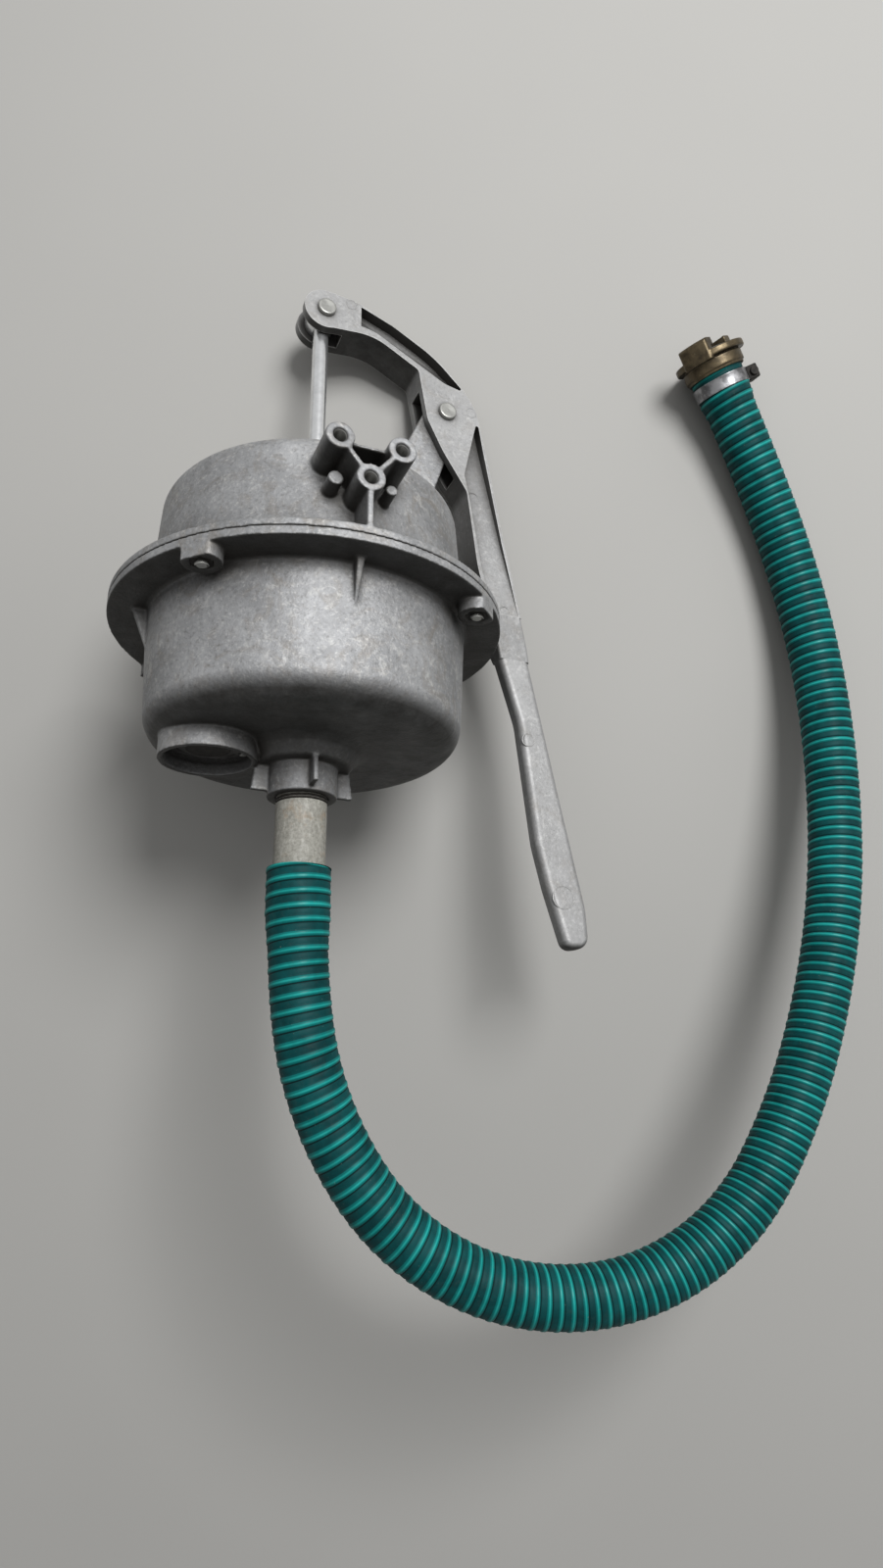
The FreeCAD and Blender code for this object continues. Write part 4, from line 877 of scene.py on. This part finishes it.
def dress_castings(finishes):
    taper_gussets(cast_copy("lower_housing", BODY_GRID, CAST_RELAX, "pump_body",
                            finishes["body"], "housing_casting"))
    cast_copy("top_cover", BODY_GRID, CAST_RELAX, "pump_body",
              finishes["body"], "cover_casting")
    dress_node("lever", finishes["lever"])
    cast_copy("hose_coupling", COUPLING_GRID, CAST_RELAX // 2, "pump_body",
              finishes["brass"], "coupling_casting")


def dress_node(node, material):
    mesh = frame["nodes"][node].data
    mesh.materials.clear()
    mesh.materials.append(material)


def finish_of(node):
    """The finish of a node that stays as it is."""
    if node == "diaphragm_rod":
        return "polished"
    if node == "inlet_pipe":
        return "pipe"
    if node in DARK_NODES or node.startswith("flange_nut"):
        return "dark"
    if node in ("diaphragm", "coupling_gasket") or node.endswith(("flap", "flap_tab")):
        return "rubber"
    if node == "inlet_tab_seat":
        return "body"
    return "steel"


def dress_nodes(finishes):
    """The finishes of the nodes that have no copy or piece of their own here."""
    for node in frame["nodes"]:
        if node not in ("lower_housing", "top_cover", "lever", "hose_coupling", "hose"):
            dress_node(node, finishes[finish_of(node)])


def dress_hose(finishes):
    """The ribbed hose with its two lips and its clamp band."""
    line = Centreline(route_line(HOSE_ROUTE))
    hose = settle(ribbed_hose(line), "pump_body", finishes["hose"])
    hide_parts("hose")
    near = hose_lip("hose_lip_near", line, 0.0, 1.0, HOSE_SLEEVE_R - RIB_HEIGHT)
    far = hose_lip("hose_lip_far", line, line.length, -1.0, HOSE_END_R - RIB_HEIGHT)
    for lip in (near, far):
        settle(lip, "pump_body", finishes["hose"])
    band = settle(clamp_band(line), "pump_body", finishes["band"])
    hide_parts("hose_clamp_band")
    return line, hose, [near, far, band]


def make_floor():
    half = FLOOR_SIZE / 2
    corners = [(-half, -half, 0), (half, -half, 0), (half, half, 0), (-half, half, 0)]
    floor = mesh_object("floor", corners, [(0, 1, 2, 3)], smooth=False)
    look = Look("pale_floor", metallic=0.0, roughness=0.85, specular=0.2)
    tone = look.spread(look.noise(3.0, 2.0), 0.3, 0.7)
    paler = tuple(FLOOR_TONE * value for value in FLOOR_COLOUR)
    floor.data.materials.append(look.finish(look.mix(tone, FLOOR_COLOUR, paler)))


def make_sky():
    """A plain pale surround that lights the object from above and from the far side."""
    world = bpy.data.worlds.new("surround")
    world.use_nodes = True
    tree = world.node_tree
    back = tree.nodes["Background"]
    place = tree.nodes.new("ShaderNodeTexCoord")
    facing = tree.nodes.new("ShaderNodeVectorMath")
    facing.operation = "DOT_PRODUCT"
    facing.inputs[1].default_value = Vector(SKY_TOWARDS).normalized()
    tree.links.new(place.outputs["Generated"], facing.inputs[0])
    fade = tree.nodes.new("ShaderNodeMapRange")
    fade.interpolation_type = "SMOOTHSTEP"
    fade.inputs["From Min"].default_value = SKY_FADE_START
    fade.inputs["From Max"].default_value = 1.0
    fade.inputs["To Min"].default_value = SKY_DARK_SIDE
    fade.inputs["To Max"].default_value = SKY_BRIGHT_SIDE
    tree.links.new(facing.outputs["Value"], fade.inputs["Value"])
    rays = tree.nodes.new("ShaderNodeLightPath")
    seen = rays.outputs["Is Camera Ray"]
    for kind in ("Is Glossy Ray", "Is Transmission Ray"):
        either = tree.nodes.new("ShaderNodeMath")
        either.operation = "MAXIMUM"
        tree.links.new(seen, either.inputs[0])
        tree.links.new(rays.outputs[kind], either.inputs[1])
        seen = either.outputs[0]
    strength = tree.nodes.new("ShaderNodeMix")
    tree.links.new(seen, strength.inputs[MIX_SHARE])
    tree.links.new(fade.outputs["Result"], strength.inputs[MIX_NUMBERS[0]])
    strength.inputs[MIX_NUMBERS[1]].default_value = SKY_SEEN
    tree.links.new(strength.outputs[MIX_NUMBER_OUT], back.inputs["Strength"])
    back.inputs["Color"].default_value = (1.0, 1.0, 1.0, 1.0)
    bpy.context.scene.world = world


def make_lamp():
    light = bpy.data.lights.new("key", "AREA")
    light.shape = "DISK"
    light.size = KEY_SIZE
    light.energy = KEY_POWER
    lamp = link("key", light)
    lamp.location = KEY_PLACE
    lamp.rotation_euler = (KEY_TARGET - KEY_PLACE).to_track_quat("-Z", "Y").to_euler()


def make_camera():
    data = bpy.data.cameras.new("camera")
    data.sensor_width = CAMERA_SENSOR
    data.lens = CAMERA_LENS
    camera = link("camera", data)
    forward = CAMERA_UP.cross(CAMERA_RIGHT)
    turn = Matrix((CAMERA_RIGHT, CAMERA_UP, -forward)).transposed().to_4x4()
    camera.matrix_world = Matrix.Translation(CAMERA_PLACE) @ turn
    bpy.context.scene.camera = camera


def main():
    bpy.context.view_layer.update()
    make_camera()
    make_sky()
    make_lamp()
    make_floor()
    finishes = make_finishes()
    dress_nodes(finishes)
    line, hose, pieces = dress_hose(finishes)
    dress_castings(finishes)
    lever_marks(finishes)
    pin_faces(finishes)
    boss_threads(finishes)
    bolt_threads(finishes)
    pipe_thread(finishes)


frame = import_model()
bpy.context.scene.view_settings.view_transform = "Standard"
main()
